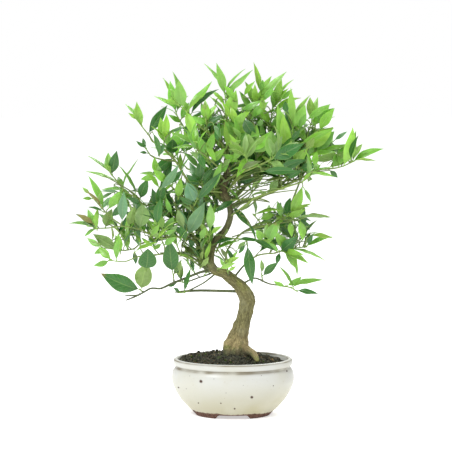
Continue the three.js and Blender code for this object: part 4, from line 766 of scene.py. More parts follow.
def bark_material():
    n = Nodes("bark")
    tint = n.attribute("tint").outputs["Color"]
    length, turn, radius = n.split(n.attribute("place").outputs["Vector"])[:3]
    where = n.where()
    angle = n.times(turn, 2 * math.pi)
    around = n.new("CombineXYZ", {
        "X": n.times(n.math("COSINE", angle), BARK_AROUND),
        "Y": n.times(n.math("SINE", angle), BARK_AROUND),
        "Z": n.times(length, BARK_ALONG)}).outputs[0]
    furrows = n.spots(around, 1.9, 5.0, 0.62)
    plates = n.new("TexVoronoi", {"Vector": around, "Scale": 3.4}, feature="DISTANCE_TO_EDGE")
    cracks = n.ramp(plates.outputs["Distance"], 0.0, 0.12, 1.0, 0.0)
    fine = n.spots(where, 750.0, 4.0, 0.6)
    large = n.spots(where, 55.0, 2.0)
    thick = n.ramp(radius, 1.6, 5.0)
    deep = n.mix(1.0, tint, (0.74, 0.71, 0.64), "MULTIPLY")
    raised = n.mix(1.0, tint, (1.3, 1.27, 1.15), "MULTIPLY")
    light = n.mix(n.ramp(furrows, 0.38, 0.64), deep, raised)
    deepest = n.times(cracks, n.times(thick, 0.55))
    dark = n.mix(deepest, light, (0.32, 0.3, 0.26), "MULTIPLY")
    spotty = n.mix(n.ramp(fine, 0.38, 0.72, 0.0, 0.6), dark, (0.55, 0.52, 0.45), "MULTIPLY")
    lichen = n.mix(n.ramp(large, 0.55, 0.75, 0.0, 0.35), spotty, colour(150, 150, 118))
    height = n.plus(n.times(furrows, n.plus(thick, 0.25)), n.times(fine, 0.35))
    height = n.minus(height, n.times(cracks, n.times(thick, 0.5)))
    normal = n.bump(height, 0.0011, 0.75)
    return n.finish(color=lichen, roughness=0.82, normal=normal, specular=0.25)


# Dark pits in the glaze, as seen from the front: [across, height, width].
PITS = [
    (-37.0, 37.6, 3.0), (22.0, 19.0, 2.8), (-63.0, 30.5, 1.6), (-54.0, 29.0, 0.8),
    (-40.0, 12.2, 1.4), (-14.0, 12.0, 1.4), (2.0, 5.6, 1.7), (62.5, 49.8, 1.3),
    (47.0, 32.5, 1.0), (-22.0, 40.5, 0.6), (12.0, 33.0, 0.5), (-8.0, 24.0, 0.5),
    (33.0, 44.5, 0.6), (-50.0, 44.0, 0.5),
]
RIM = [
    (MOUTH_RADIUS, RIM_HEIGHT - 3), (MOUTH_RADIUS + 1.2, RIM_HEIGHT - 0.8),
    (MOUTH_RADIUS + 3.2, RIM_HEIGHT), (RIM_RADIUS - 1, RIM_HEIGHT - 1),
    (RIM_RADIUS, RIM_HEIGHT - 3.5), (RIM_RADIUS - 0.4, RIM_HEIGHT - 7),
]
OUTER_WALL = [
    (RIM_RADIUS - 2.6, RIM_HEIGHT - 9), (RIM_RADIUS - 2.4, RIM_HEIGHT - 10.5),
    (BELLY_RADIUS - 1.3, 51), (BELLY_RADIUS, 45), (BELLY_RADIUS - 0.4, 39),
    (BELLY_RADIUS - 3.9, 29), (BELLY_RADIUS - 10.6, 18), (FOOT_RADIUS + 8.5, 8.8),
    (FOOT_RADIUS + 6, 6.5),
]


# Shares of a pit's width at which it is full and at which it ends, in metres to a millimetre.
PIT_CORE, PIT_EDGE = 0.0003, 0.00085
# The heights between which the glaze turns yellow downwards, and between which bare clay begins.
YELLOW_GLAZE = (0.012, 0.062)
BARE_CLAY = (0.0058, 0.0068)


def on_pot(across, height):
    """The place on the pot's front that is seen at a point, found by stepping nearer to it."""
    radii, heights = np.array(OUTER_WALL[::-1]).T
    depth = 0.0
    for _ in range(20):
        x, _, z = seen((across, height, depth))
        radius = np.interp(z, heights, radii)
        depth = -POT_DEPTH_SHARE * math.sqrt(max(radius ** 2 - x ** 2, 0.0))
    return x, z


def glaze_material():
    n = Nodes("glaze")
    where = n.where()
    x, y, z = n.split(where)[:3]
    cloud = n.spots(where, 28.0, 3.0)
    fleck = n.spots(where, 420.0, 2.0)
    low = n.ramp(n.plus(z, n.times(cloud, 0.018)), *YELLOW_GLAZE, 1.0, 0.0)
    # The yellow grows stronger towards the right, as painted shade on the pot's right side; the
    # yellow low down is the glaze's own.
    right = n.ramp(x, -0.03, 0.08)
    yellow = n.times(low, n.plus(n.times(right, 0.3), 0.62))
    base = n.mix(yellow, colour(197, 198, 193), colour(166, 158, 114))
    misty = n.mix(n.ramp(cloud, 0.4, 0.7, 0.0, 0.5), base, colour(190, 188, 172))
    speck = n.mix(n.ramp(fleck, 0.68, 0.74, 0.0, 0.35), misty, colour(164, 148, 108))
    thin = n.split(n.attribute("place").outputs["Vector"])[2]
    ochre = n.mix(thin, speck, colour(104, 92, 62))
    pits = None
    front = n.ramp(y, -0.03, 0.0, 1.0, 0.0)
    flat = n.new("CombineXYZ", {"X": x, "Y": 0.0, "Z": z}).outputs[0]
    for across, height, width in PITS:
        spot_x, spot_z = on_pot(across, height)
        centre = (0.001 * (spot_x - BOX_MIDDLE[0]), 0.0, 0.001 * spot_z)
        away = n.new("VectorMath", {0: flat, 1: centre}, operation="DISTANCE").outputs["Value"]
        edge = n.plus(away, n.times(n.minus(fleck, 0.5), 0.0012))
        spot = n.ramp(edge, PIT_CORE * width, PIT_EDGE * width, 1.0, 0.0)
        pits = spot if pits is None else n.math("MAXIMUM", pits, spot)
    pits = n.times(pits, front)
    pitted = n.mix(pits, ochre, colour(66, 44, 34))
    ragged = n.plus(z, n.times(n.minus(fleck, 0.5), 0.003))
    ragged = n.plus(ragged, n.times(n.minus(cloud, 0.5), 0.006))
    bare = n.ramp(ragged, *BARE_CLAY, 1.0, 0.0)
    clay = n.mix(n.ramp(fleck, 0.35, 0.65), colour(78, 54, 46), colour(104, 76, 64))
    skin = n.mix(bare, pitted, clay)
    glossy = n.plus(n.times(pits, 0.3), n.ramp(cloud, 0.3, 0.7, 0.3, 0.42))
    rough = n.plus(n.times(bare, 0.62), glossy)
    height = n.plus(n.times(cloud, 0.6), n.times(fleck, 0.1))
    height = n.minus(height, pits)
    normal = n.bump(height, 0.0009, 0.5)
    return n.finish(color=skin, roughness=rough, normal=normal, specular=0.35)


def soil_material():
    n = Nodes("soil")
    tint = n.attribute("tint").outputs["Color"]
    where = n.where()
    crumbs = n.new("TexVoronoi", {"Vector": where, "Scale": 520.0})
    fine = n.spots(where, 1200.0, 3.0)
    coarse = n.spots(where, 150.0, 4.0)
    dark = n.mix(n.ramp(crumbs.outputs["Distance"], 0.2, 0.8), tint, (0.3, 0.3, 0.3), "MULTIPLY")
    mixed = n.mix(n.ramp(coarse, 0.35, 0.65, 0.0, 0.6), dark, (0.55, 0.5, 0.42), "MULTIPLY")
    light = n.mix(n.ramp(fine, 0.64, 0.72, 0.0, 0.3), mixed, colour(130, 130, 112))
    height = n.minus(n.times(fine, 0.5), crumbs.outputs["Distance"])
    normal = n.bump(height, 0.0012, 0.9)
    return n.finish(color=light, roughness=0.96, normal=normal, specular=0.15)


LEAF, TWIG, BARK = leaf_material(), twig_material(), bark_material()
GLAZE, SOIL = glaze_material(), soil_material()


# The pot.
INNER_WALL = [
    (FOOT_RADIUS, FLOOR_HEIGHT), (52, 18), (59, 28), (63.5, 38), (64.6, 46),
    (MOUTH_RADIUS - 0.8, 55),
]
POT_SIDES, DRAIN_SIDES = 224, 40
# The drains are cut from below the foot to above the floor.
DRAIN_FROM, DRAIN_TO = -5, 20
# The arched gaps between the four feet: half their widths at the front and at the sides, and the
# width over which each rises.
FRONT_ARCH, SIDE_ARCH = 19.0, 11.0
ARCH_RISE = 7
# Thin glaze, which shows ochre, on the rim's edges and in the groove under the rim: [height,
# width, share].
THIN_GLAZE = [
    (RIM_HEIGHT - 1.3, 0.6, 1.0), (RIM_HEIGHT - 8.6, 1.0, 1.0), (RIM_HEIGHT - 10.2, 1.3, 0.8),
]


def lathe(profile, sides):
    """A profile of radius and height turned round and pressed oval, closed at both ends."""
    turn = np.arange(sides) * 2 * np.pi / sides
    ring = np.column_stack([np.cos(turn), np.sin(turn) * POT_DEPTH_SHARE])
    rows = [np.column_stack([ring * r, np.full(sides, z)]) for r, z in profile[1:-1]]
    verts = np.concatenate(rows + [[[0, 0, profile[0][1]]], [[0, 0, profile[-1][1]]]])
    return verts, closed_rings(len(rows), sides)


def drilled(piece, places):
    """Cuts the drain holes through the pot's floor."""
    cutters = []
    for across in places:
        skin = bpy.data.meshes.new("drain")
        line = [(across, 0, DRAIN_FROM), (across, 0, DRAIN_TO)]
        verts, faces, _ = tube(line, [DRAIN_RADIUS] * 2, DRAIN_SIDES)
        skin.from_pydata(in_frame(verts).tolist(), [], faces)
        cutter = bpy.data.objects.new("drain", skin)
        bpy.context.scene.collection.objects.link(cutter)
        cut = piece.modifiers.new("drain", "BOOLEAN")
        cut.operation, cut.solver, cut.object = "DIFFERENCE", "EXACT", cutter
        cutters.append(cutter)
    depsgraph = bpy.context.evaluated_depsgraph_get()
    whole = bpy.data.meshes.new_from_object(piece.evaluated_get(depsgraph))
    piece.modifiers.clear()
    piece.data = whole
    whole.name = piece.name
    for cutter in cutters:
        bpy.data.objects.remove(cutter)


def make_pot():
    wall = smooth_line([*INNER_WALL, *RIM, *OUTER_WALL], 5, 0.9)
    foot = [(FOOT_RADIUS + 3.2, 3.4), (FOOT_RADIUS + 1.2, 1.0), (FOOT_RADIUS, 0.0),
            (FOOT_RADIUS - 3, 0), (FOOT_RADIUS - 6, 0), (FOOT_RADIUS - 6.3, 2),
            (FOOT_RADIUS - 6.5, FOOT_HEIGHT), (20, FOOT_HEIGHT), (0, FOOT_HEIGHT)]
    profile = [(0, FLOOR_HEIGHT), (20, FLOOR_HEIGHT), (38, FLOOR_HEIGHT), *wall, *foot]
    profile = [tuple(map(float, p)) for p in profile][::-1]
    verts, faces = lathe(profile, POT_SIDES)
    x, y, z = verts.T
    arch = np.zeros(len(verts))
    for away, half in ((np.abs(x), FRONT_ARCH), (np.abs(y), SIDE_ARCH)):
        rise = np.clip((half - away) / ARCH_RISE, 0, 1)
        arch = np.maximum(arch, FOOT_HEIGHT * np.sqrt(1 - (1 - rise) ** 2))
    radius = np.hypot(x, y / POT_DEPTH_SHARE)
    low = (z < FOOT_HEIGHT) & (radius > FOOT_RADIUS - 7)
    verts[low, 2] = arch[low] + z[low] * (1 - arch[low] / FOOT_HEIGHT)
    thin = np.zeros(len(verts))
    outside = radius > MOUTH_RADIUS - 0.5
    for height, width, share in THIN_GLAZE:
        thin = np.maximum(thin, share * np.exp(-((z - height) / width) ** 2) * outside)
    thin *= 0.75 + 0.5 * noise(verts, 9.0)
    skin = Skin()
    skin.add(verts, faces, (1, 1, 1, 1), np.column_stack([x, y, thin]))
    pot = skin.build("pot_glazed", [GLAZE], ("pot",), 40)
    drilled(pot, (-DRAIN_SPACING / 2, DRAIN_SPACING / 2))


# The soil, with crumbs and bits of root on it.
def from_trunk(x, y):
    return np.hypot(x - TRUNK_FOOT[0], y - TRUNK_FOOT[1])


def soil_height(x, y):
    mound = SOIL_MOUND * np.exp(-((from_trunk(x, y) / MOUND_REACH) ** 2))
    lumps = 0.8 * np.sin(0.31 * x + 1) * np.cos(0.37 * y) + 0.5 * np.sin(0.9 * x + 0.7 * y)
    points = np.stack([x, y, 0 * x], axis=-1)
    rough = 0.9 * noise(points, 6.0) + 0.6 * noise(points + 50, 2.6) + 0.35 * noise(points, 1.3)
    tilt = SOIL_TILT[0] * x + SOIL_TILT[1] * y
    return SOIL_EDGE_HEIGHT + mound + tilt + lumps * 0.7 + rough * 0.8


SOIL_DARK, SOIL_BROWN = colour(82, 84, 72), colour(104, 99, 82)
MOSS, GRIT, ROOTY = colour(92, 118, 52), colour(170, 160, 138), colour(176, 152, 112)
SOIL_SIDES, SOIL_RINGS = 200, 84
SOIL_TOP = 74.0
# What the visible soil keeps from the pot's wall beside the gap.
SOIL_MARGIN = 0.2


def make_soil():
    clear = GAP + SOIL_MARGIN
    edge = MOUTH_RADIUS - 0.8 - clear
    radii = np.linspace(edge, 0, SOIL_RINGS)[:-1]
    top = [(r, SOIL_EDGE_HEIGHT) for r in radii]
    wall = smooth_line([(r - clear, z + clear) for r, z in INNER_WALL], 3, 0.8)
    profile = [(0, FLOOR_HEIGHT + clear), (20, FLOOR_HEIGHT + clear), *map(tuple, wall), *top,
               (0, SOIL_EDGE_HEIGHT)]
    verts, faces = lathe(profile, SOIL_SIDES)
    upper = verts[:, 2] > SOIL_EDGE_HEIGHT - 0.1
    x, y = verts[upper, 0], verts[upper, 1]
    verts[upper, 2] = np.minimum(soil_height(x, y), SOIL_TOP)
    away = from_trunk(verts[:, 0], verts[:, 1])
    patch = noise(verts, 8.0) * 0.6 + noise(verts, 3.0) * 0.4
    green = smoothstep(0.0, 0.5, patch + smoothstep(40, 14, away) * 0.5 - 0.35)[:, None] * 0.6
    brown = smoothstep(-0.2, 0.6, noise(verts + 90, 5.0))[:, None] * 0.7
    rgb = blend(blend(SOIL_DARK, SOIL_BROWN, brown), MOSS, green)
    skin = Skin()
    skin.add(verts, faces, tinted(rgb), (0, 0, 0))
    skin.build("soil_bed", [SOIL], ("soil",), 180)


# A ball of 80 triangles: the twelve corners of an icosahedron, split once.
GOLDEN = (1 + 5 ** 0.5) / 2
LUMP = np.array([(a, b * GOLDEN, 0) for a in (-1, 1) for b in (-1, 1)]
                + [(0, a, b * GOLDEN) for a in (-1, 1) for b in (-1, 1)]
                + [(b * GOLDEN, 0, a) for a in (-1, 1) for b in (-1, 1)], float)
LUMP /= np.linalg.norm(LUMP[0])
LUMP_FACES = []
for i in range(12):
    for j in range(i + 1, 12):
        for k in range(j + 1, 12):
            a, b, c = LUMP[i], LUMP[j], LUMP[k]
            if max(np.linalg.norm(a - b), np.linalg.norm(b - c), np.linalg.norm(c - a)) < 1.1:
                outward = np.dot(np.cross(b - a, c - a), a + b + c) > 0
                LUMP_FACES.append((i, j, k) if outward else (i, k, j))


def finer(verts, faces):
    """Splits each triangle of a ball into four."""
    verts = list(verts)
    middles = {}

    def middle(a, b):
        key = (min(a, b), max(a, b))
        if key not in middles:
            middles[key] = len(verts)
            verts.append(unit(verts[a] + verts[b]))
        return middles[key]

    split = []
    for a, b, c in faces:
        ab, bc, ca = middle(a, b), middle(b, c), middle(c, a)
        split += [(a, ab, ca), (ab, b, bc), (ca, bc, c), (ab, bc, ca)]
    return np.array(verts), split


BALL, BALL_FACES = finer(LUMP, LUMP_FACES)

CRUMBS, BITS_OF_ROOT, BIT_POINTS = 620, 26, 7
LARGEST_CRUMB = 1.9
CRUMB_REACH, BIT_REACH = 60.5, 60
SOIL_HALF_WIDTH, SOIL_HALF_DEPTH = 61, 48
TRUNK_CLEARANCE = 15
# The kinds of crumb, each up to a share of all of them.
CRUMB_KINDS = [(0.03, GRIT), (0.06, ROOTY), (0.12, MOSS), (0.45, SOIL_BROWN), (1.0, SOIL_DARK)]


def make_crumbs():
    draw = np.random.RandomState(CRUMB_SEED)
    skin = Skin()
    placed = 0
    while placed < CRUMBS:
        x = draw.uniform(-SOIL_HALF_WIDTH, SOIL_HALF_WIDTH)
        y = draw.uniform(-SOIL_HALF_DEPTH, SOIL_HALF_DEPTH)
        size = draw.uniform(0.5, 1.0) ** 2 * LARGEST_CRUMB
        if math.hypot(x, y / POT_DEPTH_SHARE) > CRUMB_REACH - size:
            continue
        if from_trunk(x, y) < TRUNK_CLEARANCE:
            continue
        placed += 1
        shape = BALL * (1 + 0.28 * noise(BALL * 2 + draw.uniform(0, 90, 3), 1.1)[:, None])
        shape = shape * draw.uniform(0.65, 1.15, 3) * size
        turn = np.array(Euler(draw.uniform(0, FULL_TURN, 3)).to_matrix())
        z = float(soil_height(np.array(x), np.array(y))) + size * 0.25
        kind = draw.rand()
        rgb = next(rgb for limit, rgb in CRUMB_KINDS if kind < limit)
        rgb = rgb * draw.uniform(0.7, 1.25)
        skin.add(shape @ turn.T + vec(x, y, z), BALL_FACES, tinted(rgb), (0, 0, 0))
    for _ in range(BITS_OF_ROOT):
        turn = draw.uniform(0, 2 * np.pi)
        far = draw.uniform(18, 56)
        x, y = far * math.cos(turn), far * math.sin(turn) * POT_DEPTH_SHARE
        heading, length = draw.uniform(0, FULL_TURN), draw.uniform(4, 11)
        line = []
        for s in np.linspace(-0.5, 0.5, BIT_POINTS):
            px = x + math.cos(heading + s) * s * length
            py = y + math.sin(heading + s) * s * length
            if math.hypot(px, py / POT_DEPTH_SHARE) > BIT_REACH:
                break
            line.append((px, py, float(soil_height(np.array(px), np.array(py))) + 0.25))
        if len(line) < BIT_POINTS:
            continue
        radius = draw.uniform(0.22, 0.5)
        radii = np.linspace(radius, radius * 0.5, BIT_POINTS)
        skin.add_tube(ROOTY * draw.uniform(0.6, 1.1), 0, line, radii, 6)
    skin.build("soil_crumbs", [SOIL], (), 180)


# The wood.
BARK_TRUNK, BARK_THIN = colour(130, 128, 90), colour(92, 104, 76)
BARK_FOOT = colour(170, 156, 118)
# The young bark's yellow-green also serves as painted highlight near the elbow.
BARK_YOUNG_AND_HIGHLIGHT, BARK_HIGH = colour(150, 158, 84), colour(88, 76, 56)
BARK_GREEN = colour(134, 158, 88)


def bark_swell(amount):
    def swell(points, reach, length, turn):
        grooves = 0.05 * np.sin(3 * turn + length / 11) + 0.035 * np.sin(7 * turn - length / 17)
        lumps = noise(points, 9.0) * 0.07 + noise(points, 3.2) * 0.045
        return reach * (1 + amount * (grooves + lumps))
    return swell


def wood_tint(verts, places):
    """Each colour of the bark comes in between two heights or two radii."""
    height, radius = verts[:, 2], places[:, 2]
    thick = smoothstep(1.2, 6.0, radius)[:, None]
    green = (smoothstep(168, 190, height) * smoothstep(2.2, 1.2, radius))[:, None]
    rgb = blend(blend(BARK_THIN, BARK_GREEN, green), BARK_TRUNK, thick)
    patch = noise(verts, 7.0)
    # Around the elbow, yellow-green patches on the thick wood are partly young green bark and partly
    # painted highlight.
    elbow = smoothstep(135, 155, height) * smoothstep(215, 190, height)
    young = (elbow * smoothstep(-0.3, 0.5, patch) * 0.55)[:, None] * thick
    rgb = blend(rgb, BARK_YOUNG_AND_HIGHLIGHT, young)
    high = (smoothstep(225, 245, height) * smoothstep(0.8, -0.2, patch) * 0.7)[:, None] * thick
    rgb = blend(rgb, BARK_HIGH, high)
    rgb = blend(rgb, BARK_FOOT, smoothstep(112, 76, height)[:, None] * 0.8)
    moss = smoothstep(0.1, 0.6, noise(verts, 5.0) + smoothstep(84, 70, height) - 0.35)
    rgb = blend(rgb, MOSS, moss[:, None] * 0.5 * (height < 90)[:, None])
    # Just above the soil, near the trunk's middle, the bark is darkened towards the soil's colour.
    soil_line_dark = smoothstep(79, 73, height + 3 * noise(verts + 30, 4.0))[:, None]
    soil_line_dark = soil_line_dark * smoothstep(24, 14, np.abs(verts[:, 0] - 2))[:, None] * 0.75
    return tinted(blend(rgb, SOIL_DARK, soil_line_dark))


# Thin branches are slimmer than in the solids, whose blades and tubes keep a least thickness.
SLIM = 0.8
THICK_BRANCH = 5
TRUNK_SIDES, BRANCH_SIDES, TWIG_SIDES = 72, 20, 14
# One straight twig, known by its first point, is thicker than in the solids.
STRAIGHT_TWIG, STRAIGHT_TWIG_SHARE = [12, 142.5, 2], 1.35


def make_wood(sprays):
    skin = Skin()

    def grow(line, radii, sides, roughness):
        verts, faces, places = tube(line, radii, sides, bark_swell(roughness))
        skin.add(verts, faces, wood_tint(verts, places), places)

    line = smooth_line([(*seen(row[:3]), row[3]) for row in TRUNK], 9, 0.95)
    radii = line[:, 3] * (1 + 0.06 * smoothstep(100, 64, line[:, 2]))
    grow(line[:, :3], radii, TRUNK_SIDES, 1.5)
    ends = {tuple(spray["root"]): spray for spray in sprays}
    used = set()
    for first, last, *points in BRANCHES:
        line = [seen(p) for p in points]
        spray = ends.get(tuple(points[-1]))
        if spray:
            used.add(spray["name"])
            line.append(spray["spur_end"])
        slim = SLIM if first < THICK_BRANCH else 1.0
        if points[0] == STRAIGHT_TWIG:
            slim = STRAIGHT_TWIG_SHARE
        radii = np.linspace(first * slim, max(last * slim, 0.8), len(line))
        curve = smooth_line([(*p, r) for p, r in zip(line, radii)], 7, 0.8)
        steps = np.linalg.norm(np.diff(curve[:, :3], axis=0), axis=1)
        lengths = np.concatenate([[0], np.cumsum(steps)])
        flare = 1 + 0.35 * np.exp(-lengths / 6)
        radii = curve[:, 3] * flare
        if not spray:
            radii[-3:] *= (0.9, 0.75, 0.4)
        grow(curve[:, :3], radii, BRANCH_SIDES if first > 2 else TWIG_SIDES, 0.9)
    for spray in sprays:
        if spray["name"] in used:
            continue
        curve = np.linspace(spray["start"], spray["spur_end"], 5)
        radius = TWIG_RADIUS * SLIM
        grow(curve, np.linspace(radius * 1.3, radius, 5), 12, 0.6)
    skin.build("wood", [BARK], ("trunk_and_branches",), 60)


# The leaves stand where the solids' leaves stand: the same rows and rules give each leaf's
# choices, and the choice taken is the one whose tip is a corner of the spray's solid.
SLENDER = 0.8
# The width of a laid leaf that is seen edge on: a share of its length, and the most it gets.
LAID_WIDTH_SHARE, LAID_WIDTH_MOST = 0.3, 9
# A tip that is a corner of the solid lies this near to it.
CORNER_MISS = 0.06
# Leaves that show their undersides.
TURNED = ("pale", "turned")
# The choices that a leaf has: steps in depth for a laid one, turns in degrees for a grown one.
LAID_STEPS = (0, 7, -7, 14, -14, 21, -21, 28, -28)
GROWN_TURNS = (0, 40, -40, 80, -80, 120, -120, 160)
DRAW_STEP, DRAW_LIMIT = 16807, 2147483647
seed = 20261


def drawn():
    global seed
    seed = seed * DRAW_STEP % DRAW_LIMIT
    return seed / DRAW_LIMIT


def shown(root, tip, face, kind):
    """The normal of a leaf that shows the given share of its width to the viewer."""
    forward = unit(tip - root)
    to_viewer = unit(vec(0, -1, 0) + forward * forward[1])
    upward = np.cross(forward, to_viewer)
    flat = upward * (-1 if upward[2] < 0 else 1) * math.sqrt(1 - face * face)
    return unit(to_viewer * (-face if kind in TURNED else face) + flat)


def aside(tangent):
    """Two directions square to a shoot."""
    side = unit(np.cross(tangent, vec(0, 1, 0) if abs(tangent[2]) > 0.9 else vec(0, 0, 1)))
    return side, np.cross(side, tangent)


def middle_of(leaf):
    return (leaf[1] + leaf[2]) / 2


def foot_on(shoots, across, height):
    """The point of the shoots that is seen nearest to a place."""
    best, least = None, math.inf
    for shoot in shoots:
        for a, b in zip(shoot, shoot[1:]):
            dx, dz = b[0] - a[0], b[1] - a[1]
            reach = ((across - a[0]) * dx + (height - a[1]) * dz) / (dx * dx + dz * dz + 1e-9)
            share = min(max(reach, 0), 1)
            foot = [p + (q - p) * share for p, q in zip(a, b)]
            gap = math.hypot(foot[0] - across, foot[1] - height)
            if gap < least:
                least, best = gap, foot
    return best


def laid_leaf(shoots, row, kind):
    """A listed leaf: its tone and its choices of [root, tip, normal, width]."""
    foot = foot_on(shoots, row[0], row[1])
    reach = math.hypot(row[2] - foot[0], row[3] - foot[1])
    width = max(row[4], min(LAID_WIDTH_SHARE * reach, LAID_WIDTH_MOST))
    face = row[4] / width
    choices = []
    for more in LAID_STEPS:
        root = seen(foot)
        tip = seen((row[2], row[3], foot[2] + row[5] + more))
        choices.append((root, tip, shown(root, tip, face, kind), width))
    return kind, choices


def grown_leaf(shoots, index, count, longest, kind):
    """A leaf placed by the rule of growth."""
    shoot = shoots[index % len(shoots)]
    spans = len(shoot) - 1
    place = min((0.25 + 0.75 * (index + 1) / count) * spans, spans)
    span = min(int(place), spans - 1)
    a, b = seen(shoot[span]), seen(shoot[span + 1])
    root = a + (b - a) * (place - span)
    tangent = unit(b - a)
    side, over = aside(tangent)
    turn, reach, spread, tilt, lean = [drawn() for _ in range(5)]
    length = longest * (0.75 + 0.35 * reach)
    choices = []
    for more in GROWN_TURNS:
        angle = math.radians(turn * 40 + GOLDEN_ANGLE * index + more)
        outward = side * math.cos(angle) + over * math.sin(angle)
        forward = unit(tangent * (0.35 + 0.5 * spread) + outward + vec(0, 0, 0.35))
        face = outward * -0.35 + vec(tilt - 0.5, -0.6 * lean, 0.8) + tangent * 0.4
        normal = unit(face - forward * np.dot(face, forward))
        choices.append((root, root + forward * length, normal, length * GROWN_WIDTH * SLENDER))
    return kind, choices


def plan_sprays():
    planned = []
    for name, tone, root, more, length, shoots, rows in SPRAYS:
        start = seen(root)
        outward = unit(seen(shoots[0][0]) - start)
        leaves = [laid_leaf(shoots, row, row[6] if len(row) > 6 else tone) for row in rows]
        leaves += [grown_leaf(shoots, i, more, length, tone) for i in range(more)]
        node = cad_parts["spray_" + name]
        corners = np.array([v.co for v in node.data.vertices], float) * 1000 + BOX_MIDDLE
        taken = []
        laid = 0
        for index, (kind, choices) in enumerate(leaves):
            for choice in choices:
                if np.min(np.linalg.norm(corners - choice[1], axis=1)) < CORNER_MISS:
                    taken.append((kind, *choice))
                    laid += index < len(rows)
                    break
        planned.append({"name": name, "tone": tone, "root": root, "start": start,
                        "spur_end": start + outward * SPUR_LENGTH, "shoots": shoots,
                        "leaves": taken, "laid": laid})
    return planned


# New leaves high in the crown are a fuller green than the older ones below.
LOW_LEAVES_TO, HIGH_LEAVES_FROM = 250, 285
LOW_LEAF = np.array([1.05, 1.0, 1.25])
HIGH_LEAF = np.array([0.95, 1.0, 0.88])
TOPS = {"bright": colour(156, 206, 84), "mid": colour(132, 192, 62), "dark": colour(50, 118, 30),
        "blue": colour(112, 162, 96), "pale": colour(148, 184, 96), "olive": colour(116, 136, 64),
        "brown": colour(148, 146, 82), "turned": colour(114, 168, 56)}
# A turned leaf's underside is painted a darker green than a pale leaf's, as painted shade.
UNDERS = {"bright": colour(168, 212, 108), "mid": colour(166, 206, 112),
          "dark": colour(132, 176, 96), "blue": colour(134, 182, 110), "pale": colour(146, 182, 96),
          "olive": colour(148, 164, 96), "brown": colour(160, 156, 100),
          "turned": colour(130, 178, 78)}
GLOSS = {"bright": 0.8, "mid": 0.95, "dark": 1.0, "blue": 0.8, "pale": 0.8, "olive": 0.6,
         "brown": 0.5, "turned": 0.7}
UNDER_GLOSS = 0.15
# The share of the leaves whose tips are scorched brown.
SCORCHED_SHARE = 0.06
# Half the thickness of a blade at its edges, and what its middle has more.
EDGE_THICKNESS, MIDDLE_THICKNESS = 0.16, 0.1
RIB_HEIGHT, RIB_WIDTH = 0.34, 0.09
STALK_RADII = (0.62, 0.46)
OLIVE, GREEN_TWIG, BROWN_TIP = colour(114, 134, 70), colour(134, 172, 78), colour(150, 120, 66)

LEAF_STEPS = 14
# The outline of a blade: half its width at each share of its length.
OUTLINE_AT = (0, 0.05, 0.14, 0.26, 0.38, 0.48, 0.6, 0.72, 0.83, 0.92, 0.975, 1.0)
OUTLINE_HALF = (0.05, 0.22, 0.54, 0.84, 1.0, 0.99, 0.86, 0.64, 0.39, 0.17, 0.06, 0.01)
# A broad leaf's outline is rounder.
BROAD_HALF = (0.05, 0.32, 0.68, 0.92, 1.0, 0.99, 0.91, 0.76, 0.54, 0.3, 0.12, 0.012)
# Places across a blade, from edge to edge.
ACROSS = np.array([-1, -0.68, -0.36, -0.1, 0, 0.1, 0.36, 0.68, 1])


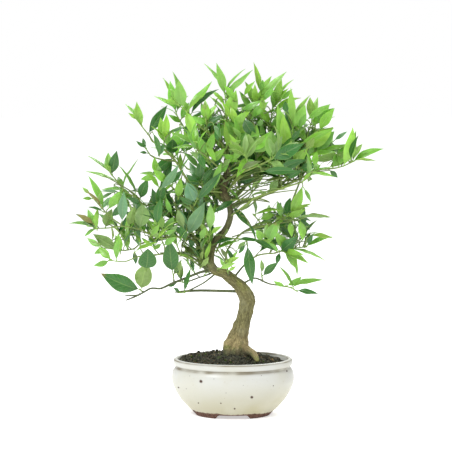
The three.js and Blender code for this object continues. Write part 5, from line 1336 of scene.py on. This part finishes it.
def leaf_skin(skin, leaf, draw, steps=LEAF_STEPS):
    """Adds a leaf's blade, which is folded, arched and twisted, and its stalk."""
    kind, root, tip, normal, width = leaf
    along = tip - root
    length = np.linalg.norm(along)
    forward = along / length
    side = np.cross(forward, normal)
    stalk = PETIOLE_LENGTH / length
    u = np.linspace(0, 1, steps) ** 1.05
    share = stalk * 0.85 + (1 - stalk * 0.85) * u
    slender = 0.72 + 0.28 * smoothstep(0.3, 0.8, abs(normal[1]))
    broad = smoothstep(0.36, 0.6, width / length)
    shape = blend(np.array(OUTLINE_HALF), np.array(BROAD_HALF), broad)
    half = np.interp(u, OUTLINE_AT, shape) * width / 2 * slender
    arch = LEAF_ARCH * draw.uniform(0.8, 1.7) * length * 4 * share * (1 - share)
    bow = draw.uniform(-0.045, 0.045) * length * 4 * u * (1 - u)
    hook = draw.uniform(-0.02, 0.05) * length * np.sin(2 * np.pi * u) * (1 - u)
    middle = (root + np.outer(share, along) + np.outer(arch + hook, normal)
              + np.outer(bow, side))
    facing = abs(normal[1])
    twist = draw.uniform(-0.4, 0.4) * (0.3 + 0.7 * facing) * u * (1 - 0.6 * u)
    sides = np.outer(np.cos(twist), side) + np.outer(np.sin(twist), normal)
    ups = np.outer(np.cos(twist), normal) - np.outer(np.sin(twist), side)
    fold = LEAF_FOLD * draw.uniform(0.5, 1.15) * (0.4 + 0.6 * facing)
    ripple = draw.uniform(0.02, 0.12)
    phase = draw.uniform(0, FULL_TURN)
    waves = draw.uniform(2, 3.6)
    v = ACROSS[None, :]
    rise = (fold * np.abs(v) ** 1.2 - 0.12 * np.abs(v) ** 3) * half[:, None]
    rise = rise + ripple * half[:, None] * np.abs(v) ** 2 * np.sin(
        waves * 2 * np.pi * u[:, None] + phase + (v > 0) * 1.3)
    thick = EDGE_THICKNESS + MIDDLE_THICKNESS * (1 - np.abs(v)) * np.ones((steps, 1))
    rib = RIB_HEIGHT * np.exp(-(v / RIB_WIDTH) ** 2) * (1 - u[:, None]) ** 0.7
    flat = middle[:, None, :] + sides[:, None, :] * (half[:, None] * v)[..., None]
    top = flat + ups[:, None, :] * (rise + thick - 0.25 * rib)[..., None]
    under = flat + ups[:, None, :] * (rise - thick - rib)[..., None]
    wide = len(ACROSS)
    verts = np.concatenate([top.reshape(-1, 3), under.reshape(-1, 3)])
    count = steps * wide
    faces = strips(steps, wide, closed=False)
    faces = [f[::-1] for f in faces] + [tuple(count + i for i in f) for f in faces]
    border = ([i * wide for i in range(steps)]
              + [count - wide + j for j in range(1, wide)]
              + [i * wide + wide - 1 for i in range(steps - 2, -1, -1)]
              + [j for j in range(wide - 2, 0, -1)])
    for a, b in zip(border, border[1:] + border[:1]):
        faces.append((a, b, count + b, count + a))
    shade = draw.uniform(0.86, 1.14)
    warm = draw.uniform(-1, 1)
    bias = np.array([1 + 0.10 * warm, 1 + 0.02 * warm, 1 - 0.3 * warm])
    high = smoothstep(LOW_LEAVES_TO, HIGH_LEAVES_FROM, root[2])
    bias = bias * blend(LOW_LEAF, HIGH_LEAF, high)
    upper = np.clip(TOPS[kind] * shade * bias, 0, 1)
    lower = np.clip(UNDERS[kind] * shade * bias, 0, 1)
    # One half of each blade is painted lighter and the other darker, as painted shade and sheen
    # across its fold; the edges are lighter, and the blade is darker towards its stalk.
    painted_fold_shade = draw.uniform(-0.12, 0.12) * np.tanh(4 * ACROSS) + 0.1 * ACROSS ** 4
    along_tint = (0.9 + 0.18 * u)[:, None, None] * (1 + painted_fold_shade)[None, :, None]
    tints = []
    for rgb, gloss in ((upper, GLOSS[kind]), (lower, UNDER_GLOSS)):
        rows = np.clip(rgb * along_tint, 0, 1)
        tints.append(np.concatenate([rows, np.full((steps, wide, 1), gloss)], axis=2))
    if draw.rand() < SCORCHED_SHARE:
        scorch = smoothstep(0.86, 0.97, u)[:, None, None]
        for rows in tints:
            rows[..., :3] = blend(rows[..., :3], BROWN_TIP, scorch)
    tints = np.concatenate([rows.reshape(-1, 4) for rows in tints])
    place = np.stack(np.broadcast_arrays(u[:, None], v, 0.0), axis=-1).reshape(-1, 3)
    skin.add(verts, faces, tints, np.concatenate([place, place]), BLADE)
    reach = np.linspace(-0.9 / length, share[0] + 0.02, 6)
    rise = LEAF_ARCH * length * 4 * reach * (1 - reach)
    stalk_line = root + np.outer(reach, along) + np.outer(rise, normal)
    radii = np.linspace(*STALK_RADII, 6)
    skin.add_tube(blend(GREEN_TWIG, upper, 0.5), STEM, stalk_line, radii, 6)


# The end of a shoot swells into a bud: [length past the shoot's tip, radius].
BUD = [(0.8, 0.85), (2.0, 0.7), (3.2, 0.12)]


def make_spray(spray, order):
    draw = np.random.RandomState(SPRAY_SEED + order)
    skin = Skin()
    for leaf in spray["leaves"]:
        leaf_skin(skin, leaf, draw)
    young = spray["tone"] in ("bright", "pale")
    for i, shoot in enumerate(spray["shoots"]):
        line = [seen(p) for p in shoot]
        if i == 0:
            line = [spray["start"], spray["spur_end"], *line]
        first = TWIG_RADIUS * SLIM * (0.85 if i else 1)
        radii = np.linspace(first, 0.62, len(line))
        curve = smooth_line([(*p, r) for p, r in zip(line, radii)], 5, 0.7)
        ahead = unit(curve[-1, :3] - curve[-2, :3])
        bud = [(*(curve[-1, :3] + ahead * length), radius) for length, radius in BUD]
        curve = np.concatenate([curve, bud])
        verts, faces, places = tube(curve[:, :3], curve[:, 3], 8, bark_swell(0.7))
        far = smoothstep(0, 1, places[:, 0] / places[:, 0].max())[:, None]
        tip = GREEN_TWIG if young else blend(OLIVE, GREEN_TWIG, 0.5)
        skin.add(verts, faces, tinted(blend(OLIVE, tip, far)), places, STEM)
    # A small bud sits in the corner between each stalk and its shoot.
    for _, root, tip, *_ in spray["leaves"]:
        ahead = unit(tip - root)
        ball = BALL * vec(0.75, 0.75, 0.95) + root + ahead * 0.9 + vec(0, 0, 0.35)
        skin.add(ball, BALL_FACES, tinted(GREEN_TWIG), (0, 0, 1), STEM)
    node = "spray_" + spray["name"]
    skin.build(node + "_leaves", [LEAF, TWIG], (node,), 55)


# Fine shoots, which the solids leave out, thicken the crown. Each grows from a twig to a place
# inside one of the crown's masses, and its leaves stay inside the masses.
# A mass is [across, height, depth, half width, half height, half depth, shoots].
MASSES = {
    "crown": [22, 318, 22, 64, 42, 42, 80],
    "crown_right": [92, 310, 24, 42, 25, 32, 28],
    "crown_left": [-34, 318, 12, 26, 36, 30, 18],
    "under_crown": [44, 282, 14, 62, 20, 30, 44],
    "neck": [-14, 262, 10, 26, 22, 30, 20],
    "left": [-100, 232, -10, 62, 36, 34, 40],
    "left_inner": [-48, 236, 0, 32, 40, 34, 22],
    "elbow": [-34, 188, 0, 36, 20, 24, 14],
    "right": [62, 208, 4, 42, 42, 34, 20],
}
FINE_TONES = ("mid", "dark", "bright", "mid", "dark", "blue", "mid", "bright", "pale", "dark")
SHADED_TONES = ("olive", "dark", "mid", "olive", "pale", "dark")
SHADED = ("under_crown", "neck", "elbow")
BLUISH_TONES = ("blue", "dark", "pale", "blue", "mid", "dark", "bright", "mid")
BLUISH = ("left", "left_inner", "right")
FINE_STEPS = 7
# Ranges of a fine shoot's count of leaves, of their lengths, and of width to length.
FINE_COUNT, FINE_LENGTH, FINE_WIDTH_SHARE = (4, 9), (17, 36), (0.15, 0.27)
STEM_SPACING = 3
# Up to so many places are tried for each shoot of a mass. A shoot grows from the twig point whose
# distance is nearest to the usual reach, if that distance is in the range.
TRIES = 14
USUAL_REACH, REACH_RANGE = 22, (12, 34)
# The least distance between the middles of two leaves, and the fewest leaves on a shoot.
LEAF_CLEARANCE, LEAST_LEAVES = 5.5, 3

# Leaves and stems at the front of the plant that the solids leave out, laid out on the front
# view: its columns count from the left and its rows from the top. A leaf is [foot column,
# foot row, tip column, tip row, seen width, depth step in mm, tone]; a stem is [radius in mm,
# *points].
VIEW_STEP, VIEW_STEP_UP = 1.15, 1.146
VIEW_MIDDLE, VIEW_GROUND = 233, 415.4
# A front leaf stands this far before its stem and before the leaves seen near its middle, and at
# most so far from the stem.
BEFORE_STEM, BEFORE_LEAVES, FARTHEST = 2, 3, 26
NEAR_LEAF = 9
# A front stem's end stands this far before the twig behind it.
STEM_LEAD = 3
# A stem that lies farther back counts as farther away from a leaf, by this share of its depth.
DEPTH_PENALTY = 0.06
# The width of a front leaf that is seen edge on: a share of its length, and the most it gets.
EDGE_WIDTH_SHARE, EDGE_WIDTH_MOST = 0.26, 8
FRONT_LEAVES = [
    (205, 128, 223, 115, 4, -4, "dark"), (206, 120, 205, 100, 6, -4, "pale"),
    (241, 110, 262, 99, 6, -6, "mid"), (243, 117, 256, 135, 11, -6, "dark"),
    (226, 148, 224, 121, 5, -6, "bright"), (240, 152, 229, 132, 8, -6, "bright"),
    (287, 113, 284, 101, 6, -2, "dark"), (306, 119, 330, 103, 7, -8, "mid"),
    (318, 129, 334, 107, 10, -10, "mid"), (300, 142, 334, 127, 7, -10, "mid"),
    (316, 150, 334, 130, 13, -8, "mid"), (333, 140, 347, 130, 4, -4, "blue"),
    (316, 153, 352, 143, 5, -8, "mid"), (312, 160, 342, 153, 8, -8, "pale"),
    (351, 160, 358, 134, 5, -6, "dark"), (272, 158, 304, 142, 13, -8, "dark"),
    (262, 170, 298, 170, 8, -4, "dark"), (296, 168, 297, 156, 5, -4, "pale"),
    (276, 170, 306, 158, 9, -6, "dark"), (230, 170, 253, 166, 3, -3, "bright"),
    (208, 171, 224, 147, 9, -8, "dark"), (312, 171, 334, 175.5, 3.5, -4, "mid"),
    (302, 181, 311, 171, 3, -3, "bright"), (279, 177, 270, 190, 8, -4, "pale"),
    (303, 186, 311, 201, 3.5, -4, "bright"), (293, 217, 331, 217, 3.5, -8, "pale"),
    (310, 235, 333, 237, 4, -6, "bright"), (307, 245, 313, 233, 5, -3, "dark"),
    (232, 205, 251, 227, 6, -8, "dark"), (248, 222, 256, 238, 3, -4, "dark"),
    (236, 240, 262, 240, 3.5, -6, "dark"), (252, 239, 276, 250, 5, -6, "dark"),
    (240, 212, 252, 200, 4, -3, "pale"), (256, 126, 263, 118, 5, -3, "blue"),
    (222, 166, 230, 158, 5, -3, "pale"), (214, 188, 222, 160, 7, -6, "mid"),
    (205, 176, 222, 172, 6, -4, "dark"), (232, 181, 262, 176, 3, -5, "olive"),
    (240, 177, 276, 168, 4, -5, "olive"), (256, 172, 284, 178, 4, -5, "dark"),
    (262, 182, 290, 176, 3, -5, "olive"), (286, 178, 303, 168, 6, -5, "dark"),
    (240, 170, 262, 160, 5, -5, "olive"), (232, 160, 244, 146, 6, -5, "mid"),
    (268, 130, 262, 146, 5, -4, "dark"), (276, 128, 280, 145, 7, -4, "dark"),
    (213, 122, 221, 138, 5, -4, "blue"), (206, 142, 216, 160, 6, -4, "mid"),
    (198, 150, 206, 168, 7, -5, "dark"), (290, 140, 300, 128, 6, -4, "dark"),
    (298, 128, 306, 112, 7, -4, "mid"), (304, 150, 314, 136, 7, -5, "pale"),
    (228, 190, 247, 172, 4, -5, "olive"), (248, 198, 272, 190, 3, -4, "pale"),
    (262, 193, 288, 188, 3, -4, "pale"), (213, 244, 235, 238, 4, -6, "dark"),
    (215, 250, 240, 240, 4, -6, "mid"), (236, 250, 246, 240, 5, -3, "pale"),
    (222, 262, 240, 256, 5, -3, "bright"), (218, 268, 236, 262, 5, -3, "bright"),
    (206, 262, 211, 240, 4, -3, "bright"), (200, 268, 209, 256, 5, -3, "pale"),
    (226, 246, 232, 262, 4, -3, "dark"), (219, 246, 228, 260, 4, -3, "olive"),
    (204, 275, 214, 262, 5, -3, "bright"), (122, 221, 124, 190, 10, -6, "blue"),
    (157, 224, 161, 197, 9, -6, "dark"), (150, 216, 154, 190, 7, -4, "dark"),
    (108, 208, 121, 190, 8, -6, "mid"), (121, 192, 101, 190, 3, -3, "blue"),
    (142, 204, 128, 196, 6, -4, "dark"), (102, 207, 85, 189, 3, -3, "brown"),
    (95, 224, 77, 213, 5, -3, "brown"), (97, 229, 98, 207, 5, -4, "mid"),
    (104, 211, 88, 206, 2.5, -3, "dark"), (120, 253, 118, 232, 7, -5, "mid"),
    (124, 246, 133, 229, 3, -3, "blue"), (192, 258, 166, 251, 2.5, -4, "mid"),
    (184, 229, 178, 208, 8, -5, "pale"), (179, 273, 181, 260, 4, -3, "pale"),
    (178, 198, 181, 176, 8, -5, "mid"), (160, 189, 179, 163, 8, -5, "blue"),
    (160, 188, 147, 172, 4, -4, "mid"), (186, 240, 180, 225, 7, -5, "dark"),
    (200, 240, 206, 226, 6, -4, "mid"), (168, 236, 178, 224, 5, -4, "pale"),
    (172, 214, 166, 196, 5, -4, "mid"), (196, 246, 188, 238, 5, -4, "dark"),
    (140, 198, 148, 178, 10, -6, "dark"), (155, 240, 170, 226, 4, -4, "bright"),
    (134, 252, 158, 241, 3.5, -5, "mid"), (150, 236, 160, 222, 5, -4, "mid"),
    (153, 131, 160, 156, 5, -4, "blue"), (171, 132, 184, 126, 3, -3, "dark"),
    (200, 168, 184, 151, 5, -5, "blue"), (206, 170, 192, 152, 4, -4, "dark"),
    (196, 151, 190, 138, 3, -3, "blue"), (219, 143, 220, 119, 5, -4, "dark"),
    (202, 182, 214, 166, 5, -4, "dark"), (197, 176, 204, 160, 5, -4, "mid"),
    (210, 150, 203, 138, 5, -4, "dark"), (236, 100, 224, 84, 6, -4, "mid"),
    (230, 120, 221, 100, 4, -4, "bright"), (262, 100, 274, 84, 6, -4, "mid"),
    (243, 96, 255, 80, 5, -4, "mid"), (264, 112, 262, 96, 7, -4, "bright"),
    (280, 100, 292, 88, 5, -4, "mid"),
]
FRONT_STEMS = [
    (0.9, (229, 190), (240, 186), (252, 183), (262, 182), (272, 184)),
    (1.3, (232, 200), (241, 191), (247, 184), (256, 178), (266, 174)),
    (1.0, (232, 201), (245, 192), (251, 187), (259, 184)),
    (0.8, (227, 187), (245, 184), (262, 178), (283, 180), (300, 178)),
    (0.7, (228, 190), (247, 189), (258, 189), (267, 188)),
    (0.8, (232, 204), (245, 195), (258, 186), (268, 184)),
    (0.9, (233, 210), (246, 207), (258, 198), (272, 192), (297, 188.5)),
    (1.2, (291, 203), (296, 190), (300, 180), (304, 172)),
    (0.8, (300, 178), (310, 171), (320, 170), (330, 169)),
    (0.9, (232, 203), (244, 199), (256, 199), (270, 201)),
    (0.9, (224, 180), (215, 184), (208, 180), (200, 176)),
    (0.8, (224, 186), (214, 188), (206, 192)),
    (0.9, (226, 178), (240, 172), (252, 168), (268, 166)),
    (0.8, (228, 174), (244, 166), (262, 156), (280, 150)),
    (0.9, (226, 172), (236, 160), (246, 146)), (0.9, (231, 212), (240, 204), (247, 196)),
    (1.6, (228, 228), (221, 240), (216, 252)),
    (2.2, (203, 240), (203, 250), (207, 260), (212, 266)),
    (0.8, (222, 248), (226, 256), (227, 268)), (0.9, (216, 246), (224, 258), (232, 266)),
    (0.7, (247, 240), (248, 250), (247, 256)),
    (0.9, (235, 212), (245, 216), (251, 225), (256, 240)),
    (0.7, (232, 236), (245, 232), (258, 232), (272, 231)),
    (0.8, (240, 234), (248, 228), (262, 224), (280, 222), (300, 219)),
    (1.0, (206, 262), (196, 256), (178, 252), (160, 252)),
    (1.0, (200, 262), (190, 246), (176, 234), (166, 222)),
    (0.8, (176, 234), (160, 236), (146, 232), (130, 228)),
    (1.0, (204, 244), (192, 232), (180, 214), (172, 196)),
    (0.9, (140, 198), (131, 190), (118, 182), (104, 174)),
]


def on_view(column, row):
    """Across and height, in millimetres, of a place on the front view."""
    across = round((column - VIEW_MIDDLE) * VIEW_STEP, 1)
    return across, round((VIEW_GROUND - row) * VIEW_STEP_UP, 1)


def front(point):
    """Across and height at which a point of the plant is seen from the front."""
    stretch = 1 + point[1] / VIEWER_DISTANCE
    return point[0] / stretch, VIEWER_HEIGHT + (point[2] - VIEWER_HEIGHT) / stretch


def in_masses(point):
    across, height = front(point)
    return any(math.hypot((across - m[0]) / m[3], (height - m[1]) / m[4]) < 1
               for m in MASSES.values())


def stems_of(sprays):
    """Points along all twigs and thin branches, with the direction there."""
    lines = [[seen(p) for p in row[2:]] for row in BRANCHES if row[0] < THICK_BRANCH]
    lines += [[seen(p) for p in shoot] for spray in sprays for shoot in spray["shoots"]]
    points, ways = [], []
    for line in lines:
        for a, b in zip(line, line[1:]):
            count = max(int(np.linalg.norm(b - a) / STEM_SPACING), 1)
            for i in range(count):
                points.append(a + (b - a) * i / count)
                ways.append(unit(b - a))
    return np.array(points), np.array(ways)


def away_on_view(places, across, height):
    return np.hypot(places[:, 0] - across, places[:, 1] - height)


def fine_shoot(start, way, target):
    reach = np.linalg.norm(target - start)
    lift = unit(way * 0.5 + vec(0, 0, 0.35) + unit(target - start))
    bent = start + lift * reach * 0.45
    line = smooth_line([start, bent, target], 6)
    return line, np.linspace(0.75, 0.5, len(line))


def fine_leaves(draw, line, tones):
    leaves = []
    count = draw.randint(*FINE_COUNT)
    for i in range(count):
        place = (0.3 + 0.7 * (i + 1) / count) * (len(line) - 1)
        at = min(int(place), len(line) - 2)
        root = line[at] + (line[at + 1] - line[at]) * (place - at)
        tangent = unit(line[at + 1] - line[at])
        side, over = aside(tangent)
        angle = math.radians(GOLDEN_ANGLE * i) + draw.uniform(0, FULL_TURN)
        outward = side * math.cos(angle) + over * math.sin(angle)
        forward = unit(tangent * draw.uniform(0.5, 1.4) + outward * 0.75 + vec(0, 0, 0.5))
        length = draw.uniform(*FINE_LENGTH)
        face = outward * -0.35 + vec(draw.uniform(-0.5, 0.5), -draw.uniform(0.1, 0.9), 0.7)
        normal = unit(face - forward * np.dot(face, forward))
        tip = root + forward * length
        if in_masses(tip) and in_masses(root + forward * length / 2):
            kind = tones[draw.randint(len(tones))]
            width = length * draw.uniform(*FINE_WIDTH_SHARE)
            leaves.append((kind, root, tip, normal, width))
    return leaves


def lay_front(sprays):
    """Leaves and stems laid before what stands behind them. A short stem ties each leaf to a twig."""
    points = stems_of(sprays)[0]
    places = np.array([front(p) for p in points])
    spots = [p for spray in sprays for leaf in spray["leaves"]
             for p in (leaf[1], leaf[2], middle_of(leaf))]
    spots = np.array([(*front(p), p[1]) for p in spots])
    foremost = CAD_BOX[0][1] * 1000 + BOX_MIDDLE[1]
    draw = np.random.RandomState(FRONT_SEED)
    skin = Skin()
    for radius, *stem in FRONT_STEMS:
        line = [on_view(*place) for place in stem]
        first, last = (points[np.argmin(away_on_view(places, *line[i]))][1] for i in (0, -1))
        depths = np.linspace(first, last - STEM_LEAD, len(line))
        curve = [seen((*place, depth)) for place, depth in zip(line, depths)]
        radii = np.linspace(radius, max(radius * 0.6, 0.55), len(curve))
        bent = smooth_line([(*p, r) for p, r in zip(curve, radii)], 6, 0.8)
        rgb = OLIVE * draw.uniform(0.75, 1.05)
        skin.add_tube(rgb, STEM, bent[:, :3], bent[:, 3], 8, bark_swell(0.6))
        added = bent[:-1:3, :3]
        points = np.concatenate([points, added])
        places = np.concatenate([places, [front(p) for p in added]])
    leaves = []
    for foot_x, foot_y, tip_x, tip_y, showing, step, kind in FRONT_LEAVES:
        across, height = on_view(foot_x, foot_y)
        tip_across, tip_height = on_view(tip_x, tip_y)
        showing = round(showing * VIEW_STEP, 1)
        away = away_on_view(places, across, height)
        stem = points[np.argmin(away + DEPTH_PENALTY * points[:, 1])]
        middle = ((across + tip_across) / 2, (height + tip_height) / 2)
        close = away_on_view(spots, *middle) < NEAR_LEAF
        blocker = spots[close, 2].min() if close.any() else stem[1]
        depth = max(min(stem[1] - BEFORE_STEM, blocker - BEFORE_LEAVES), stem[1] - FARTHEST)
        depth = max(depth, foremost - min(step, 0) + showing / 2)
        root = seen((across, height, depth))
        tip = seen((tip_across, tip_height, depth + step))
        widened = min(EDGE_WIDTH_SHARE * np.linalg.norm(tip - root), EDGE_WIDTH_MOST)
        width = max(showing, widened)
        leaves.append((kind, root, tip, shown(root, tip, showing / width, kind), width))
        forward = unit(tip - root)
        between = (stem + root) / 2 + vec(0, 0, 1.5)
        tie = smooth_line([stem, between, root - forward * 0.5, root + forward], 5)
        skin.add_tube(OLIVE, STEM, tie, np.linspace(0.7, 0.5, len(tie)), 6)
    for leaf in leaves:
        leaf_skin(skin, leaf, draw)
    skin.build("front_leaves", [LEAF, TWIG], (), 55)
    return leaves


# Fine leaves keep clear of laid leaves that show more than this, by the margin around each, and
# of what is up to so far before them.
LEAST_SHOWING, COVER_MARGIN, COVER_DEPTH = 4, 1, 3


def covers(sprays, fronts):
    """Listed leaves, as bands of the front view that nothing finer may hide: across,
    height and depth of root and of tip, and half the band's width."""
    laid = [leaf for spray in sprays for leaf in spray["leaves"][:spray["laid"]]] + fronts
    bands = []
    for _, root, tip, normal, width in laid:
        showing = width * abs(normal[1])
        if showing > LEAST_SHOWING:
            half = showing / 2 + COVER_MARGIN
            bands.append((*front(root), root[1], *front(tip), tip[1], half))
    return np.array(bands)


def hides(bands, leaf):
    """True if a leaf stands before one of the bands."""
    root, tip = leaf[1], leaf[2]
    ahead = bands[:, 3:6] - bands[:, :3]
    for share in (0.15, 0.4, 0.65, 0.9):
        point = root + (tip - root) * share
        away = np.array(front(point)) - bands[:, :2]
        reach = np.clip((away * ahead[:, :2]).sum(1) / (ahead[:, :2] ** 2).sum(1), 0, 1)
        gap = np.linalg.norm(away - ahead[:, :2] * reach[:, None], axis=1)
        nearer = point[1] < bands[:, 2] + ahead[:, 2] * reach + COVER_DEPTH
        if np.any((gap < bands[:, 6]) & nearer):
            return True
    return False


def fill_crown(sprays, fronts):
    """Grows the fine shoots of each mass, where their leaves find room."""
    points, ways = stems_of(sprays)
    middles = [middle_of(leaf) for spray in sprays for leaf in spray["leaves"]]
    middles = np.array(middles + [middle_of(leaf) for leaf in fronts])
    bands = covers(sprays, fronts)
    for order, (name, mass) in enumerate(MASSES.items()):
        across, height, depth, wide, high, deep, count = mass
        tones = SHADED_TONES if name in SHADED else FINE_TONES
        if name in BLUISH:
            tones = BLUISH_TONES
        draw = np.random.RandomState(FINE_SEED + order)
        skin = Skin()
        made = 0
        for _ in range(count * TRIES):
            if made == count:
                break
            way = unit(draw.normal(size=3)) * draw.uniform(0, 1) ** 0.4
            target = seen((across + wide * way[0], height + high * way[1], depth + deep * way[2]))
            away = np.linalg.norm(points - target, axis=1)
            near = int(np.argmin(np.abs(away - USUAL_REACH)))
            if not REACH_RANGE[0] < away[near] < REACH_RANGE[1]:
                continue
            line, radii = fine_shoot(points[near], ways[near], target)
            leaves = []
            for leaf in fine_leaves(draw, line, tones):
                clear = np.min(np.linalg.norm(middles - middle_of(leaf), axis=1))
                if clear > LEAF_CLEARANCE and not hides(bands, leaf):
                    leaves.append(leaf)
            if len(leaves) < LEAST_LEAVES:
                continue
            made += 1
            middles = np.concatenate([middles, [middle_of(leaf) for leaf in leaves]])
            skin.add_tube(OLIVE, STEM, line, radii, 6)
            for leaf in leaves:
                leaf_skin(skin, leaf, draw, FINE_STEPS)
        skin.build("fine_leaves_" + name, [LEAF, TWIG], (), 55)


make_pot()
make_soil()
make_crumbs()
sprays = plan_sprays()
make_wood(sprays)
for order, spray in enumerate(sprays):
    make_spray(spray, order)
fill_crown(sprays, lay_front(sprays))


# Floor, light and camera.
FLOOR_REACH, FLOOR_GLOW = 30.0, 0.5
WHITE = (1.0, 1.0, 1.0, 1.0)
BACKDROP_LIGHT = 0.72
LENS, SENSOR_WIDTH = 124.6, 36
# The camera looks at this place, across and height, as the photo's does.
AIM = (-8.0, 218.3)


def make_floor():
    data = bpy.data.meshes.new("floor")
    corners = [(x * FLOOR_REACH, y * FLOOR_REACH, 0) for x, y in ((-1, -1), (1, -1), (1, 1), (-1, 1))]
    data.from_pydata(corners, [], [(0, 1, 2, 3)])
    n = Nodes("floor")
    glow = n.shader.inputs
    n.set(glow["Emission Color"], WHITE)
    n.set(glow["Emission Strength"], FLOOR_GLOW)
    data.materials.append(n.finish(color=(0.9, 0.9, 0.9, 1.0), roughness=0.9, specular=0.1))
    floor = bpy.data.objects.new("floor", data)
    bpy.context.scene.collection.objects.link(floor)


def make_lamp(name, place, aim, size, power):
    data = bpy.data.lights.new(name, "AREA")
    data.shape = "DISK"
    data.size = size
    data.energy = power
    lamp = bpy.data.objects.new(name, data)
    lamp.location = place
    lamp.rotation_euler = (Vector(aim) - Vector(place)).to_track_quat("-Z", "Y").to_euler()
    bpy.context.scene.collection.objects.link(lamp)


make_floor()
make_lamp("key", (-0.9, -1.3, 1.7), (0, 0, 0.2), 0.7, 29)
make_lamp("fill", (1.3, -1.0, 0.9), (0, 0, 0.2), 1.2, 2)
make_lamp("back", (0.3, 1.4, 1.5), (0, 0, 0.25), 0.9, 18)
world = bpy.data.worlds.new("studio")
world.use_nodes = True
background = world.node_tree.nodes["Background"]
background.inputs["Color"].default_value = WHITE
background.inputs["Strength"].default_value = BACKDROP_LIGHT
# Seen by the camera, the backdrop is plain white.
tree = world.node_tree
white = tree.nodes.new("ShaderNodeBackground")
white.inputs["Color"].default_value = WHITE
path = tree.nodes.new("ShaderNodeLightPath")
either = tree.nodes.new("ShaderNodeMixShader")
tree.links.new(path.outputs["Is Camera Ray"], either.inputs[0])
tree.links.new(background.outputs[0], either.inputs[1])
tree.links.new(white.outputs[0], either.inputs[2])
tree.links.new(either.outputs[0], tree.nodes["World Output"].inputs["Surface"])
scene = bpy.context.scene
scene.world = world
scene.view_settings.view_transform = "Standard"

camera_data = bpy.data.cameras.new("camera")
camera_data.lens = LENS
camera_data.sensor_width = SENSOR_WIDTH
camera = bpy.data.objects.new("camera", camera_data)
place = Vector((-BOX_MIDDLE[0], -VIEWER_DISTANCE - BOX_MIDDLE[1], VIEWER_HEIGHT)) / 1000
aim = Vector((AIM[0] - BOX_MIDDLE[0], -BOX_MIDDLE[1], AIM[1])) / 1000
camera.location = place
camera.rotation_euler = (aim - place).to_track_quat("-Z", "Y").to_matrix().to_euler()
scene.collection.objects.link(camera)
scene.camera = camera
